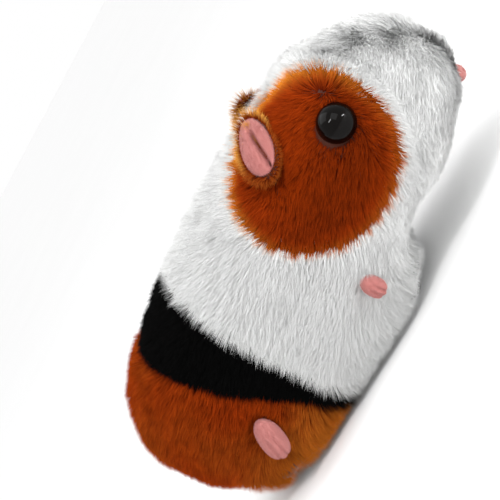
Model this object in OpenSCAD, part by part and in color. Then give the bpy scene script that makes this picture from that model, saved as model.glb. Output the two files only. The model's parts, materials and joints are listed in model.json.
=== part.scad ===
// Plush guinea pig that runs on wheels: a fur skin and wadding around a belly chassis with a geared drive.
// Millimetres. +Z is up, the animal faces -Y and its right side is -X.
// The origin is on the floor, under the middle of the body. A station is a distance back from the snout.

/* [Plush body] */
// Length from snout to rump
body_length = 210; // [208:1:214]
// Half of the body's height at its middle
half_height = 43.5; // [43:0.5:44.5]
// Half of the body's width at its middle
half_width = 44; // [43.5:0.5:46]
// Thickness of the pile and its backing together
skin_thickness = 5; // [4.5:0.5:5.5]
// Station where the white coat ends and the black band starts
band_station = 137; // [134:1:140]
// Radius of the brown patch around each eye
patch_radius = 33; // [29:1:34]

/* [Face and feet] */
// Radius of the domed eye
eye_radius = 7.8; // [7:0.1:8.5]
// Length of an ear leaf
ear_length = 30; // [26:1:32]
// Length of a hind foot
foot_length = 19; // [16:1:20]

/* [Chassis] */
// Half of the chassis width
chassis_half_width = 25; // [25:0.5:26]
// Underside of the chassis above the floor
belly_height = 5; // [4.8:0.1:5]
// Height of the seam between the two shells
seam_height = 31; // [30.8:0.1:31.2]
// Thickness of the shell walls
wall = 1.8; // [1.6:0.1:1.8]

/* [Drive] */
// Radius of a drive wheel over its tyre
wheel_radius = 14.8; // [14.8:0.1:15]
// Radius of a front roller
roller_radius = 6.5; // [6.3:0.1:6.5]
// Travel of the power switch
switch_travel = 4; // [3:0.5:4]
// Travel of the touch button
touch_travel = 2; // [1:0.5:2]

/* [Hidden] */

// Plush form
snout_reach = 75;
rump_reach = 60;
bluntness = 2.3;
form_rings = 32;
form_sides = 28;
fit_gap = 0.2;
tilt_of_band = 3;
band_foot = 5;
patch_center = [0, -43, 55];
patch_pitch = 22;

// Places on the right side; the left side is their mirror image
eye_seat = [-34.8, -59.4, 67];
eye_turn = [0, -68, 12];
ear_place = [-27.2, -35.4, 86];
ear_turn = [28, -31, -27];
paw_place = [-43, -13.5, 24.5];
foot_place = [-42.5, 60, 26.5];
foot_turn = [25, 0, 0];
nose_place = [0, -93.5, 29];

// Chassis outline
chassis_front = -22;
chassis_rear = 80;
corner = 9;
floor_thickness = 1.5;
floor_top = belly_height + floor_thickness;
roof_top = 52;
roof_under = roof_top - wall;
posts = [[18.6, 0], [14, 75.5]];
post_radius = 3.4;
screw_radius = 1.2;
screw_hole = 1.25;
screw_seat = 10;
hem_width = 3.2;

// Battery bay and its door
cell_radius = 5.25;
cell_body = 43.6;
cell_nub = 0.9;
cell_x = 5.5;
cell_z = 13;
bay_half_width = 11.1;
bay_front = -19.6;
bay_rear = 31;
bay_top = 18.5;
bay_wall = 1.2;
door_half_width = 10.8;
door_pin = [bay_front + 1.8, belly_height + 1.3];
door_rear = 38.8;
door_screw_y = 34.6;

// Drive train: places are [y, z], angles run from +Y towards +Z
tooth_module = 0.5;
tooth_shift = 0.3;
backlash = 0.09;
small_teeth = 12;
middle_teeth = 30;
large_teeth = 36;
axle_radius = 1;
pin_radius = 0.75;
running_gap = 0.05;
drive_place = [57, wheel_radius];
second_angle = 115;
first_angle = 155;
motor_angle = 140;
function polar(r, a) = [r * cos(a), r * sin(a)];
function spacing(a, b) = tooth_module * (a + b) / 2 + running_gap;
second_place = drive_place + polar(spacing(middle_teeth, small_teeth), second_angle);
first_place = second_place + polar(spacing(middle_teeth, small_teeth), first_angle);
motor_place = first_place + polar(spacing(large_teeth, small_teeth), motor_angle);
layer_a = [3.6, 6.2];
layer_b = [6.6, 9.2];
layer_c = [9.6, 12.2];
inner_plate = [1.8, 3.2];
outer_plate = [12.6, 14];
pillars = [drive_place + [6.5, 9.5], drive_place + [-14.5, -0.5]];
foot_span = [pillars[1][0] - 2.6, pillars[1][0] + 2.6];
motor_half_height = 7.5;
motor_end = -20.5;
cradle_x = [-16.6, -6];
rib = 1.4;
wheel_x = [17.6, 22.4];
wheel_slot = [drive_place[0] - 13.2, drive_place[0] + 13.2];
bearing_x = [15.2, 16.8];
roller_x = [14.6, 18.6];
roller_bearings = [[12.9, 14.1], [19.2, 20.6]];
roller_axle = [12.8, 20.3];
roller_y = -12.5;

// Electronics
board_bottom = 28;
board_top = 29.6;
board_half_width = 14.6;
board_span = [-18, 22];
board_post_x = 10.5;
board_post_y = [-15, 12];
touch_y = 0;
touch_rod = 2;
touch_cap = 60;
touch_foot = board_top + 5.5 + touch_travel;
speaker_z = 41;
speaker_radius = 8.6;
grille_hole = 0.9;
switch_place = [-8, 46];

// ---------- shapes shared by several parts ----------

// A block with round upright corners
module rounded_block(x, y0, y1, z0, z1, r) {
    translate([-x + r, y0, z0]) cube([2 * (x - r), y1 - y0, z1 - z0]);
    translate([-x, y0 + r, z0]) cube([2 * x, y1 - y0 - 2 * r, z1 - z0]);
    for (i = [-1, 1], y = [y0 + r, y1 - r])
        translate([i * (x - r), y, z0]) cylinder(r = r, h = z1 - z0, $fn = 48);
}

// A box given by its limits
module box(x, y, z) {
    translate([x[0], y[0], z[0]]) cube([x[1] - x[0], y[1] - y[0], z[1] - z[0]]);
}

// A round rod along X, with its centre at [y, z]
module x_rod(r, x, place) {
    translate([x[0], place[0], place[1]]) rotate([0, 90, 0]) cylinder(r = r, h = x[1] - x[0], $fn = 48);
}

// The same on both sides
module both_sides() {
    children();
    mirror([1, 0, 0]) children();
}

// A closed egg shape from rings of points, its poles on X
module pebble(size, rings = 12, sides = 16) {
    points = concat(
        [[-size[0] / 2, 0, 0]],
        [for (i = [1 : rings - 1], j = [0 : sides - 1])
            let (a = 180 * i / rings, b = 360 * j / sides)
            [-size[0] / 2 * cos(a), size[1] / 2 * sin(a) * cos(b), size[2] / 2 * sin(a) * sin(b)]],
        [[size[0] / 2, 0, 0]]);
    polyhedron(points, ring_faces(rings - 1, sides), convexity = 4);
}

// Faces of a form with a pole, rings of points and a second pole
function ring_faces(rings, sides) = concat(
    [for (j = [0 : sides - 1]) [0, 1 + j, 1 + (j + 1) % sides]],
    [for (i = [0 : rings - 2], j = [0 : sides - 1])
        let (a = 1 + i * sides, k = (j + 1) % sides)
        each [[a + j, a + sides + j, a + k], [a + k, a + sides + j, a + sides + k]]],
    [let (last = 1 + rings * sides, a = last - sides)
        for (j = [0 : sides - 1]) [last, a + (j + 1) % sides, a + j]]);

// Faces of a tube whose ends are flat
function tube_faces(rings, sides) = concat(
    [[for (j = [0 : sides - 1]) j]],
    [for (i = [0 : rings - 2], j = [0 : sides - 1])
        let (a = i * sides, k = (j + 1) % sides)
        each [[a + j, a + sides + j, a + k], [a + k, a + sides + j, a + sides + k]]],
    [[for (j = [sides - 1 : -1 : 0]) (rings - 1) * sides + j]]);

// A helical spring that stands on z = 0
module coil(radius, wire, turns, height, steps = 16, sides = 6) {
    rings = floor(turns * steps) + 1;
    rise = (height - 2 * wire) / (rings - 1);
    points = [for (i = [0 : rings - 1], j = [0 : sides - 1])
        let (a = 360 * i / steps, b = -360 * j / sides, r = radius + wire * cos(b))
        [r * cos(a), r * sin(a), wire + i * rise + wire * sin(b)]];
    polyhedron(points, tube_faces(rings, sides), convexity = 10);
}

// A point on a smooth curve through four points
function smooth(a, b, c, d, t) =
    0.5 * (2 * b + (c - a) * t + (2 * a - 5 * b + 4 * c - d) * t * t + (3 * b - a - 3 * c + d) * t * t * t);
function unit(v) = v / norm(v);

// A wire along a smooth route
module wire(route, radius, sides = 8, steps = 4) {
    last = len(route) - 1;
    path = concat([for (i = [0 : last - 1], k = [0 : steps - 1])
        smooth(route[max(i - 1, 0)], route[i], route[i + 1], route[min(i + 2, last)], k / steps)],
        [route[last]]);
    end = len(path) - 1;
    points = [for (i = [0 : end], j = [0 : sides - 1])
        let (
            along = unit(path[min(i + 1, end)] - path[max(i - 1, 0)]),
            across = unit(cross(along, [0.31, 0.23, 0.92])),
            other = cross(along, across),
            b = 360 * j / sides)
        path[i] + radius * (cos(b) * across + sin(b) * other)];
    polyhedron(points, tube_faces(end + 1, sides), convexity = 10);
}

// ---------- plush form ----------

function blunt(x) = pow(max(0, 1 - pow(abs(x), bluntness)), 1 / bluntness);
function fullness(s) =
    s < snout_reach ? blunt(1 - s / snout_reach)
    : s > body_length - rump_reach ? blunt((s - body_length + rump_reach) / rump_reach)
    : 1;
function mid_height(s) = 50.8 - 8.5 * pow(s / body_length, 2);
function bell(x) = exp(-x * x);
function chin(s) = 10 * bell((s - 62) / 17) + 4.5 * bell((s - 28) / 16);
function belly_squareness(s) = 2.3 + 1.3 * bell((s - 110) / 55);
function signed_power(x, p) = sign(x) * pow(abs(x), p);

// A point of the form at a station and an angle around it
function form_point(s, a, inset) =
    let (
        full = fullness(s),
        low = sin(a) < 0,
        n = low ? belly_squareness(s) : 2.2,
        h = (half_height - inset) * full - (low ? chin(s) * full : 0),
        w = (half_width - inset) * full)
    [
        w * signed_power(cos(a), 2 / n),
        (s - body_length / 2) * (1 - 2 * inset / body_length),
        mid_height(s) + h * signed_power(sin(a), 2 / n)
    ];

module plush_form(inset) {
    points = concat(
        [form_point(0, 0, inset)],
        [for (i = [1 : form_rings - 1], j = [0 : form_sides - 1])
            form_point(body_length * (1 - cos(180 * i / form_rings)) / 2, -360 * j / form_sides, inset)],
        [form_point(body_length, 0, inset)]);
    polyhedron(points, ring_faces(form_rings - 1, form_sides), convexity = 4);
}

// The space that the chassis and its button take inside the wadding
module chassis_space(grow) {
    rounded_block(chassis_half_width + grow, chassis_front - grow, chassis_rear + grow,
        -10, roof_top + grow, corner);
    rounded_block(chassis_half_width + hem_width + 0.2, chassis_front - hem_width - 0.2,
        chassis_rear + hem_width + 0.2, -10, 9.4, corner + hem_width);
    translate([0, touch_y, roof_top - 1]) cylinder(r = 13.2, h = touch_cap + 3.8 - roof_top + 1, $fn = 32);
}

// Everything sewn or fixed into the skin, a little larger than it is
module sewn_in_space() {
    both_sides() {
        place_eye() cylinder(r = eye_radius + fit_gap, h = 12, $fn = 32);
        place_eye() translate([0, 0, -13]) cylinder(r = 2.4, h = 14, $fn = 16);
        place_eye() translate([0, 0, -8.2]) cylinder(r = 7.2, h = 2.4, $fn = 24);
        place_ear() pebble([ear_length + 0.4, 14.4, 9.4]);
        place_paw() pebble([10.4, 9.4, 13.4]);
        place_foot() pebble([9.4, 12.4, foot_length + 0.4]);
    }
    place_nose() pebble([12.4, 8.4, 8.4]);
}

// The part of the skin kept by the coat's colour; resize() with no size keeps it one mesh
module skin_piece() {
    resize([0, 0, 0]) difference() {
        intersection() {
            plush_form(0);
            children();
        }
        plush_form(skin_thickness);
        chassis_space(0.3);
        sewn_in_space();
    }
}

module white_zone() {
    difference() {
        box([-60, 60], [-130, band_station - body_length / 2], [-5, 120]);
        both_sides() patch_zone();
    }
}

// A round patch seen from the side and a little above, cut off beside the white blaze on the crown
module patch_zone() {
    difference() {
        translate(patch_center) rotate([0, -90 + patch_pitch, 0])
            cylinder(r = patch_radius, h = 80, $fn = 48);
        translate([-3, -46, 0]) rotate([0, 0, 9]) box([0, 60], [-60, 60], [-5, 120]);
    }
}

// Everything behind the black band, whose rear edge leans back
module behind_band() {
    slope = atan(1 / tilt_of_band);
    translate([-60, band_station + band_foot - body_length / 2, 0]) rotate([-slope, 0, 0])
        box([0, 120], [0, 90], [-40, 140]);
}

module white_fur() {
    color("white") skin_piece() white_zone();
}

module eye_patch_right() {
    color("sienna") skin_piece() patch_zone();
}

module eye_patch_left() {
    color("sienna") skin_piece() mirror([1, 0, 0]) patch_zone();
}

module saddle_band() {
    color("#181614") skin_piece() difference() {
        box([-60, 60], [band_station - body_length / 2, 130], [-5, 120]);
        behind_band();
    }
}

module rump_fur() {
    color("saddlebrown") skin_piece() behind_band();
}

// Sewn tape round the opening under the belly
module hem_binding() {
    color("dimgray") difference() {
        rounded_block(chassis_half_width + hem_width, chassis_front - hem_width, chassis_rear + hem_width,
            6.4, 9.2, corner + hem_width);
        rounded_block(chassis_half_width + 0.1, chassis_front - 0.1, chassis_rear + 0.1, 6, 11, corner);
    }
}

module wadding(y) {
    resize([0, 0, 0]) difference() {
        intersection() {
            plush_form(skin_thickness + fit_gap);
            box([-60, 60], y, [10, 120]);
        }
        chassis_space(0.3);
        sewn_in_space();
    }
}

module head_wadding() {
    color("ivory") wadding([-130, chassis_front - 2]);
}

module body_wadding() {
    color("ivory") wadding([chassis_front - 1.9, 130]);
}

// ---------- face, ears and feet ----------

module place_eye() {
    translate(eye_seat) rotate(eye_turn) children();
}

module place_ear() {
    translate(ear_place) rotate(ear_turn) children();
}

module place_paw() {
    translate(paw_place) children();
}

module place_foot() {
    translate(foot_place) rotate(foot_turn) children();
}

module place_nose() {
    translate(nose_place) children();
}

// A domed eye with the shank that holds it
module eye() {
    color("#0b0806") {
        difference() {
            sphere(r = eye_radius, $fn = 64);
            box([-20, 20], [-20, 20], [-20, 0]);
        }
        translate([0, 0, -12]) cylinder(r = 2.2, h = 12.2, $fn = 32);
    }
}

module eye_right() {
    place_eye() eye();
}

module eye_left() {
    mirror([1, 0, 0]) place_eye() eye();
}

// Toothed washers that lock the shanks behind the backing
module eye_washers() {
    color("white") both_sides() place_eye() translate([0, 0, -8]) difference() {
        cylinder(r = 7, h = 1.6, $fn = 32);
        translate([0, 0, -1]) cylinder(r = 2.25, h = 4, $fn = 32);
    }
}

module nose() {
    color("lightpink") place_nose() pebble([12, 8, 8]);
}

// An ear leaf is hollow on its outer side, where the lining lies
module ear() {
    color("sienna") resize([0, 0, 0]) difference() {
        pebble([ear_length, 14, 9]);
        translate([0, 0, 2.5]) pebble([ear_length - 3, 10.4, 7]);
    }
}

module ear_lining() {
    color("hotpink") translate([0, 0, 2.5]) pebble([ear_length - 3.4, 10, 6.6]);
}

module ear_right() {
    place_ear() ear();
}

module ear_left() {
    mirror([1, 0, 0]) place_ear() ear();
}

module ear_lining_right() {
    place_ear() ear_lining();
}

module ear_lining_left() {
    mirror([1, 0, 0]) place_ear() ear_lining();
}

module front_paw_right() {
    color("lightpink") place_paw() pebble([10, 9, 13]);
}

module front_paw_left() {
    color("lightpink") mirror([1, 0, 0]) place_paw() pebble([10, 9, 13]);
}

module hind_foot_right() {
    color("lightpink") place_foot() pebble([9, 12, foot_length]);
}

module hind_foot_left() {
    color("lightpink") mirror([1, 0, 0]) place_foot() pebble([9, 12, foot_length]);
}

// ---------- chassis shells ----------

module at_posts() {
    for (side = [-1, 1], post = posts)
        translate([side * post[0], post[1], 0]) children();
}

module at_board_posts() {
    for (x = [-board_post_x, board_post_x], y = board_post_y)
        translate([x, y, 0]) children();
}

// Box over the cells, open below
module battery_bay() {
    out = bay_half_width + bay_wall;
    difference() {
        box([-out, out], [bay_front - bay_wall, bay_rear + bay_wall],
            [floor_top - 0.1, bay_top + bay_wall]);
        box([-bay_half_width, bay_half_width], [bay_front, bay_rear], [0, bay_top]);
    }
    translate([0, door_screw_y, floor_top + 0.3]) cylinder(r = 2.8, h = 7, $fn = 32);
}

// Ribs that carry the motor
module motor_cradle() {
    under = motor_place[1] - motor_half_height - 0.1;
    motor_y = motor_place[0];
    box([cradle_x[0], cradle_x[0] + rib], [motor_y - 8, motor_y + 8], [floor_top - 0.1, under]);
    box([cradle_x[1], cradle_x[1] + rib], [motor_y - 8, bay_rear], [bay_top, under]);
    box([cradle_x[1], cradle_x[1] + rib], [motor_y + 6.3, motor_y + 8.4], [floor_top - 0.1, under]);
}

module lower_shell() {
    color("gainsboro") difference() {
        union() {
            difference() {
                rounded_block(chassis_half_width, chassis_front, chassis_rear,
                    belly_height, seam_height, corner);
                rounded_block(chassis_half_width - wall, chassis_front + wall, chassis_rear - wall,
                    floor_top, seam_height + 1, corner - wall);
            }
            battery_bay();
            motor_cradle();
            at_posts() translate([0, 0, belly_height])
                cylinder(r = post_radius, h = seam_height - belly_height, $fn = 32);
            at_board_posts() translate([0, 0, bay_top])
                cylinder(r = 1.8, h = board_bottom - bay_top, $fn = 32);
            both_sides() {
                box(bearing_x, [drive_place[0] - 3.5, drive_place[0] + 3.5],
                    [floor_top - 0.1, wheel_radius + 4]);
                for (x = roller_bearings)
                    box(x, [roller_y - 3, roller_y + 3], [floor_top - 0.1, roller_radius + 4]);
            }
        }
        lower_shell_cuts();
    }
}

module lower_shell_cuts() {
    // Opening for the cells and the door's hinge pins
    box([-bay_half_width, bay_half_width], [bay_front, door_rear + 0.4], [0, floor_top + 0.3]);
    x_rod(0.88, [-bay_half_width - 1.1, bay_half_width + 1.1], door_pin);
    translate([0, door_screw_y, 0]) cylinder(r = 1.4, h = 12, $fn = 32);
    // Wheel and roller slots, and their axle bores
    both_sides() {
        box(wheel_x + [-0.4, 0.4], wheel_slot, [0, floor_top + 0.1]);
        box(roller_x + [-0.4, 0.4], [roller_y - 7, roller_y + 7], [0, floor_top + 0.1]);
    }
    x_rod(axle_radius + running_gap, [-wheel_x[0], wheel_x[0]], drive_place);
    both_sides() x_rod(axle_radius + running_gap, roller_axle + [-0.1, 0.1], [roller_y, roller_radius]);
    // Switch slot
    translate([switch_place[0], switch_place[1], 0])
        box([-switch_travel / 2 - 2.3, switch_travel / 2 + 2.3], [-1.8, 1.8], [0, floor_top + 0.1]);
    // Screw holes
    at_posts() {
        cylinder(r = screw_hole, h = 60, $fn = 32);
        cylinder(r = 2.5, h = screw_seat, $fn = 32);
    }
    at_board_posts() translate([0, 0, board_bottom - 5.2]) cylinder(r = 0.9, h = 10, $fn = 24);
}

module upper_shell() {
    color("whitesmoke") difference() {
        union() {
            difference() {
                rounded_block(chassis_half_width, chassis_front, chassis_rear,
                    seam_height, roof_top, corner);
                rounded_block(chassis_half_width - wall, chassis_front + wall, chassis_rear - wall,
                    seam_height - 1, roof_under, corner - wall);
            }
            at_posts() translate([0, 0, seam_height])
                cylinder(r = post_radius, h = roof_under + 0.5 - seam_height, $fn = 32);
            // Rim that seats the speaker, and ribs that hold the motor down
            translate([0, chassis_front + 1, speaker_z]) rotate([-90, 0, 0]) difference() {
                cylinder(r = speaker_radius + 1.2, h = 5, $fn = 48);
                translate([0, 0, -1]) cylinder(r = speaker_radius + 0.1, h = 8, $fn = 48);
            }
            for (x = cradle_x)
                box([x, x + rib], [motor_place[0] - 6, motor_place[0] + 6],
                    [motor_place[1] + motor_half_height + 0.1, roof_under + 0.5]);
        }
        translate([0, touch_y, 0]) cylinder(r = touch_rod + running_gap, h = 80, $fn = 32);
        at_posts() cylinder(r = screw_hole, h = 46, $fn = 32);
        speaker_grille();
    }
}

// Rings of round holes in the front wall
module speaker_grille() {
    translate([0, chassis_front - 1, speaker_z]) rotate([-90, 0, 0]) {
        cylinder(r = grille_hole, h = wall + 2, $fn = 16);
        for (ring = [1, 2], i = [0 : 6 * ring - 1])
            rotate([0, 0, 60 * i / ring]) translate([2.8 * ring, 0, 0])
                cylinder(r = grille_hole, h = wall + 2, $fn = 16);
    }
}

// A pan head screw that points up, its head's underside at z = 0
module screw(head_radius, head, shank_radius, shank) {
    color("silver") difference() {
        union() {
            translate([0, 0, -head]) cylinder(r = head_radius, h = head, $fn = 32);
            cylinder(r = shank_radius, h = shank, $fn = 32);
        }
        for (a = [0, 90])
            rotate([0, 0, a])
                box([-head_radius * 0.6, head_radius * 0.6], [-0.25, 0.25], [-head - 1, -head * 0.4]);
    }
}

module shell_screws() {
    at_posts() translate([0, 0, screw_seat]) screw(2.3, 1.7, screw_radius, 30);
}

// ---------- battery bay ----------

module battery_door() {
    color("gainsboro") difference() {
        union() {
            box([-door_half_width, door_half_width], [door_pin[0], door_rear], [belly_height, floor_top]);
            x_rod(1.3, [-door_half_width, door_half_width], door_pin);
            x_rod(0.8, [-bay_half_width - 1, bay_half_width + 1], door_pin);
            // Ribs that stiffen the inside, between the cells
            for (y = [-6, 16])
                box([-0.8, 0.8], [y - 7, y + 7], [floor_top - 0.1, floor_top + 1.2]);
        }
        translate([0, door_screw_y, 0]) {
            cylinder(r = 1.1, h = 12, $fn = 32);
            cylinder(r = 2.3, h = belly_height + 1, $fn = 32);
        }
    }
}

module door_screw() {
    translate([0, door_screw_y, belly_height + 1]) screw(2.1, 0.8, 1, 5.4);
}

// A dry cell along +Y, its flat end at y = 0
module cell() {
    color("darkseagreen") rotate([-90, 0, 0]) cylinder(r = cell_radius, h = cell_body, $fn = 64);
    color("silver") rotate([-90, 0, 0]) cylinder(r = 1.9, h = cell_body + cell_nub, $fn = 32);
}

module battery_right() {
    translate([-cell_x, bay_front + 5.4, cell_z]) cell();
}

module battery_left() {
    translate([cell_x, bay_rear - 5.4, cell_z]) rotate([0, 0, 180]) cell();
}

module contact_spring() {
    rotate([-90, 0, 0]) coil(2.8, 0.4, 3.5, 5.2);
}

module contact_springs() {
    color("silver") {
        translate([-cell_x, bay_front + 0.1, cell_z]) contact_spring();
        translate([cell_x, bay_rear - 0.1, cell_z]) rotate([0, 0, 180]) contact_spring();
    }
}

module contact_plates() {
    color("silver") {
        translate([-cell_x, bay_rear - 0.6, cell_z]) box([-4, 4], [0, 0.5], [-4, 4]);
        translate([cell_x, bay_front + 0.1, cell_z]) box([-4, 4], [0, 0.5], [-4, 4]);
    }
}

// ---------- drive train ----------

// Involute spur gear in the YZ plane, solid from x0 to x1, with its tooth 0 at angle phase
function involute(angle) = tan(angle) * 180 / PI - angle;
function tooth_half(teeth, shift, r) =
    let (
        pitch = tooth_module * teeth / 2,
        base = pitch * cos(20),
        at_pitch = 90 / teeth + (2 * shift * tan(20) / teeth - backlash / (2 * pitch)) * 180 / PI,
        pressure = r > base ? acos(base / r) : 0)
    at_pitch + involute(20) - involute(pressure);
function gear_outline(teeth, shift, phase) =
    let (
        pitch = tooth_module * teeth / 2,
        tip = pitch + tooth_module * (1 + shift),
        root = pitch - tooth_module * (1.25 - shift),
        start = max(root, pitch * cos(20)),
        radii = concat(root < start ? [root] : [], [for (k = [0 : 3]) start + (tip - start) * k / 3]),
        last = len(radii) - 1)
    [for (t = [0 : teeth - 1])
        let (middle = phase + 360 * t / teeth)
        each concat(
            [for (k = [0 : last]) polar(radii[k], middle - tooth_half(teeth, shift, radii[k]))],
            [for (k = [last : -1 : 0]) polar(radii[k], middle + tooth_half(teeth, shift, radii[k]))])];

module gear(teeth, shift, x, phase) {
    translate([x[0], 0, 0]) rotate([90, 0, 90])
        linear_extrude(x[1] - x[0]) polygon(gear_outline(teeth, shift, phase));
}

// The phase that puts a gap of gear b where gear a's tooth comes in; dir points from a to b
function mesh_phase(dir, phase_a, teeth_a, teeth_b) =
    dir + 180 - 360 / teeth_b * (0.5 - (dir - phase_a) * teeth_a / 360);
second_pinion_phase = mesh_phase(second_angle, 0, middle_teeth, small_teeth);
first_pinion_phase = mesh_phase(first_angle, 0, middle_teeth, small_teeth);
motor_pinion_phase = mesh_phase(motor_angle, 0, large_teeth, small_teeth);

module at_place(place) {
    translate([0, place[0], place[1]]) children();
}

module drive_gear() {
    color("ivory") at_place(drive_place) difference() {
        union() {
            gear(middle_teeth, -tooth_shift, layer_c, 0);
            x_rod(2.6, [layer_c[0] - 2, layer_c[1]], [0, 0]);
        }
        x_rod(axle_radius, [0, 20], [0, 0]);
    }
}

// Two gears in one piece, turning on a fixed pin
module compound_gear(teeth, wheel_layer, pinion_end, pinion_phase) {
    color("ivory") difference() {
        union() {
            gear(teeth, -tooth_shift, wheel_layer, 0);
            gear(small_teeth, tooth_shift, [wheel_layer[1] - 0.1, pinion_end], pinion_phase);
        }
        x_rod(pin_radius + running_gap, [0, 20], [0, 0]);
    }
}

module second_gear() {
    at_place(second_place) compound_gear(middle_teeth, layer_b, layer_c[1], second_pinion_phase);
}

module first_gear() {
    at_place(first_place) compound_gear(large_teeth, layer_a, layer_b[1] - 0.1, first_pinion_phase);
}

module motor_pinion() {
    color("gold") at_place(motor_place) difference() {
        gear(small_teeth, tooth_shift, layer_a, motor_pinion_phase);
        x_rod(axle_radius, [0, 20], [0, 0]);
    }
}

module motor_shaft() {
    color("silver") x_rod(axle_radius, [-2, layer_a[1] + 0.6], motor_place);
}

// Flat-sided can with a bearing boss and two terminals
module motor() {
    color("lightgray") difference() {
        union() {
            intersection() {
                x_rod(10, [motor_end, inner_plate[0]], motor_place);
                at_place(motor_place) box([-30, 10], [-10, 10], [-motor_half_height, motor_half_height]);
            }
            x_rod(3, [0, inner_plate[1] - 0.1], motor_place);
            at_place(motor_place) for (y = [-5, 4])
                box([motor_end - 1.9, motor_end + 0.1], [y, y + 1], [-1.5, 1.5]);
        }
        x_rod(axle_radius + running_gap, [-2.1, 20], motor_place);
    }
}

module gear_pins() {
    color("silver") for (place = [first_place, second_place])
        x_rod(pin_radius, [inner_plate[0] + 0.2, outer_plate[1]], place);
}

module plate_disc(place, r) {
    translate(place) circle(r = r, $fn = 32);
}

module inner_gear_plate() {
    color("lightsteelblue") difference() {
        union() {
            translate([inner_plate[0], 0, 0]) rotate([90, 0, 90])
                linear_extrude(inner_plate[1] - inner_plate[0]) hull() {
                    plate_disc(motor_place, 9);
                    plate_disc(drive_place, 4.5);
                    plate_disc(pillars[0], 3);
                    plate_disc(pillars[1], 3);
                }
            box(inner_plate, foot_span, [floor_top, pillars[1][1]]);
        }
        x_rod(3.05, [0, 20], motor_place);
        x_rod(axle_radius + 0.5, [0, 20], drive_place);
        for (place = [first_place, second_place])
            x_rod(pin_radius, [inner_plate[0] + 0.2, 20], place);
    }
}

// Outer plate with the two pillars that space it from the inner one
module outer_gear_plate() {
    color("lightsteelblue") difference() {
        union() {
            translate([outer_plate[0], 0, 0]) rotate([90, 0, 90])
                linear_extrude(outer_plate[1] - outer_plate[0]) hull() {
                    plate_disc(first_place, 4.5);
                    plate_disc(drive_place, 4.5);
                    plate_disc(pillars[0], 3);
                    plate_disc(pillars[1], 3);
                }
            box(outer_plate, foot_span, [floor_top, pillars[1][1]]);
            for (place = pillars)
                x_rod(1.6, [inner_plate[1], outer_plate[0] + 0.1], place);
        }
        x_rod(axle_radius + 0.5, [0, 20], drive_place);
        for (place = [first_place, second_place])
            x_rod(pin_radius, [0, 20], place);
    }
}

module drive_axle() {
    color("silver") x_rod(axle_radius, [-wheel_x[1], wheel_x[1]], drive_place);
}

// Moulded wheel with five round holes and a groove that seats the tyre
module wheel() {
    rim = wheel_radius - 1.8;
    color("dimgray") at_place(drive_place) difference() {
        x_rod(rim, wheel_x, [0, 0]);
        difference() {
            x_rod(rim - 1.6, [wheel_x[1] - 1.4, 30], [0, 0]);
            x_rod(3, [0, 40], [0, 0]);
        }
        for (i = [0 : 4])
            x_rod(2, [0, 40], polar(6.8, 72 * i + 18));
        x_rod(axle_radius, [0, 40], [0, 0]);
    }
}

module tyre() {
    inside = wheel_radius - 1.8;
    half = (wheel_x[1] - wheel_x[0]) / 2;
    color("#202020") translate([(wheel_x[0] + wheel_x[1]) / 2, drive_place[0], drive_place[1]])
        rotate([0, 90, 0]) rotate_extrude($fn = 96)
            polygon([
                [inside, -half], [wheel_radius - 0.6, -half], [wheel_radius, -half + 1],
                [wheel_radius, half - 1], [wheel_radius - 0.6, half], [inside, half]
            ]);
}

module wheel_left() {
    wheel();
}

module wheel_right() {
    mirror([1, 0, 0]) wheel();
}

module tyre_left() {
    tyre();
}

module tyre_right() {
    mirror([1, 0, 0]) tyre();
}

module stub_axle() {
    color("silver") x_rod(axle_radius, roller_axle, [roller_y, roller_radius]);
}

module roller() {
    half = (roller_x[1] - roller_x[0]) / 2;
    color("dimgray") translate([roller_x[0] + half, roller_y, roller_radius]) rotate([0, 90, 0])
        rotate_extrude($fn = 64) polygon([
            [axle_radius, -half], [roller_radius - 0.7, -half], [roller_radius, -half + 0.8],
            [roller_radius, half - 0.8], [roller_radius - 0.7, half], [axle_radius, half]
        ]);
}

module stub_axle_left() {
    stub_axle();
}

module stub_axle_right() {
    mirror([1, 0, 0]) stub_axle();
}

module roller_left() {
    roller();
}

module roller_right() {
    mirror([1, 0, 0]) roller();
}

// ---------- electronics ----------

module circuit_board() {
    color("seagreen") difference() {
        box([-board_half_width, board_half_width], board_span, [board_bottom, board_top]);
        at_board_posts() cylinder(r = 1, h = 40, $fn = 24);
    }
}

// Sound chip under its blob, a coil, a capacitor and two plugs for the wires
module board_parts() {
    color("#1a1a1a") {
        translate([8, -7, board_top]) cylinder(r1 = 4.6, r2 = 3.2, h = 1.8, $fn = 32);
        box([-13, -5], [4.5, 8.5], [board_top, board_top + 2.2]);
    }
    color("midnightblue") translate([-8.6, -7, board_top]) cylinder(r = 3.1, h = 8, $fn = 32);
    color("white") {
        box([-14, -7], [17, 21], [board_top, board_top + 3]);
        box([1, 8], [-15.7, -11.8], [board_top, board_top + 3]);
    }
}

module board_screws() {
    at_board_posts() translate([0, 0, board_top]) mirror([0, 0, 1]) screw(1.7, 1.1, 0.85, 6.4);
}

module tact_switch() {
    color("#303030") translate([0, touch_y, board_top]) {
        box([-3, 3], [-3, 3], [0, 3.6]);
        cylinder(r = 1.7, h = 5.4, $fn = 32);
    }
}

module speaker() {
    color("silver") translate([0, chassis_front + wall + 0.1, speaker_z]) rotate([-90, 0, 0]) difference() {
        union() {
            cylinder(r = speaker_radius, h = 3.4, $fn = 48);
            cylinder(r = 5.5, h = 6.5, $fn = 48);
        }
        translate([0, 0, -1]) cylinder(r = speaker_radius - 1, h = 3.6, $fn = 48);
    }
}

module speaker_cone() {
    color("#282828") translate([0, chassis_front + wall + 0.6, speaker_z]) rotate([-90, 0, 0])
        difference() {
            cylinder(r1 = speaker_radius - 1, r2 = 4, h = 2, $fn = 48);
            translate([0, 0, -0.01]) cylinder(r1 = speaker_radius - 1.8, r2 = 3.2, h = 1.5, $fn = 48);
        }
}

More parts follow.
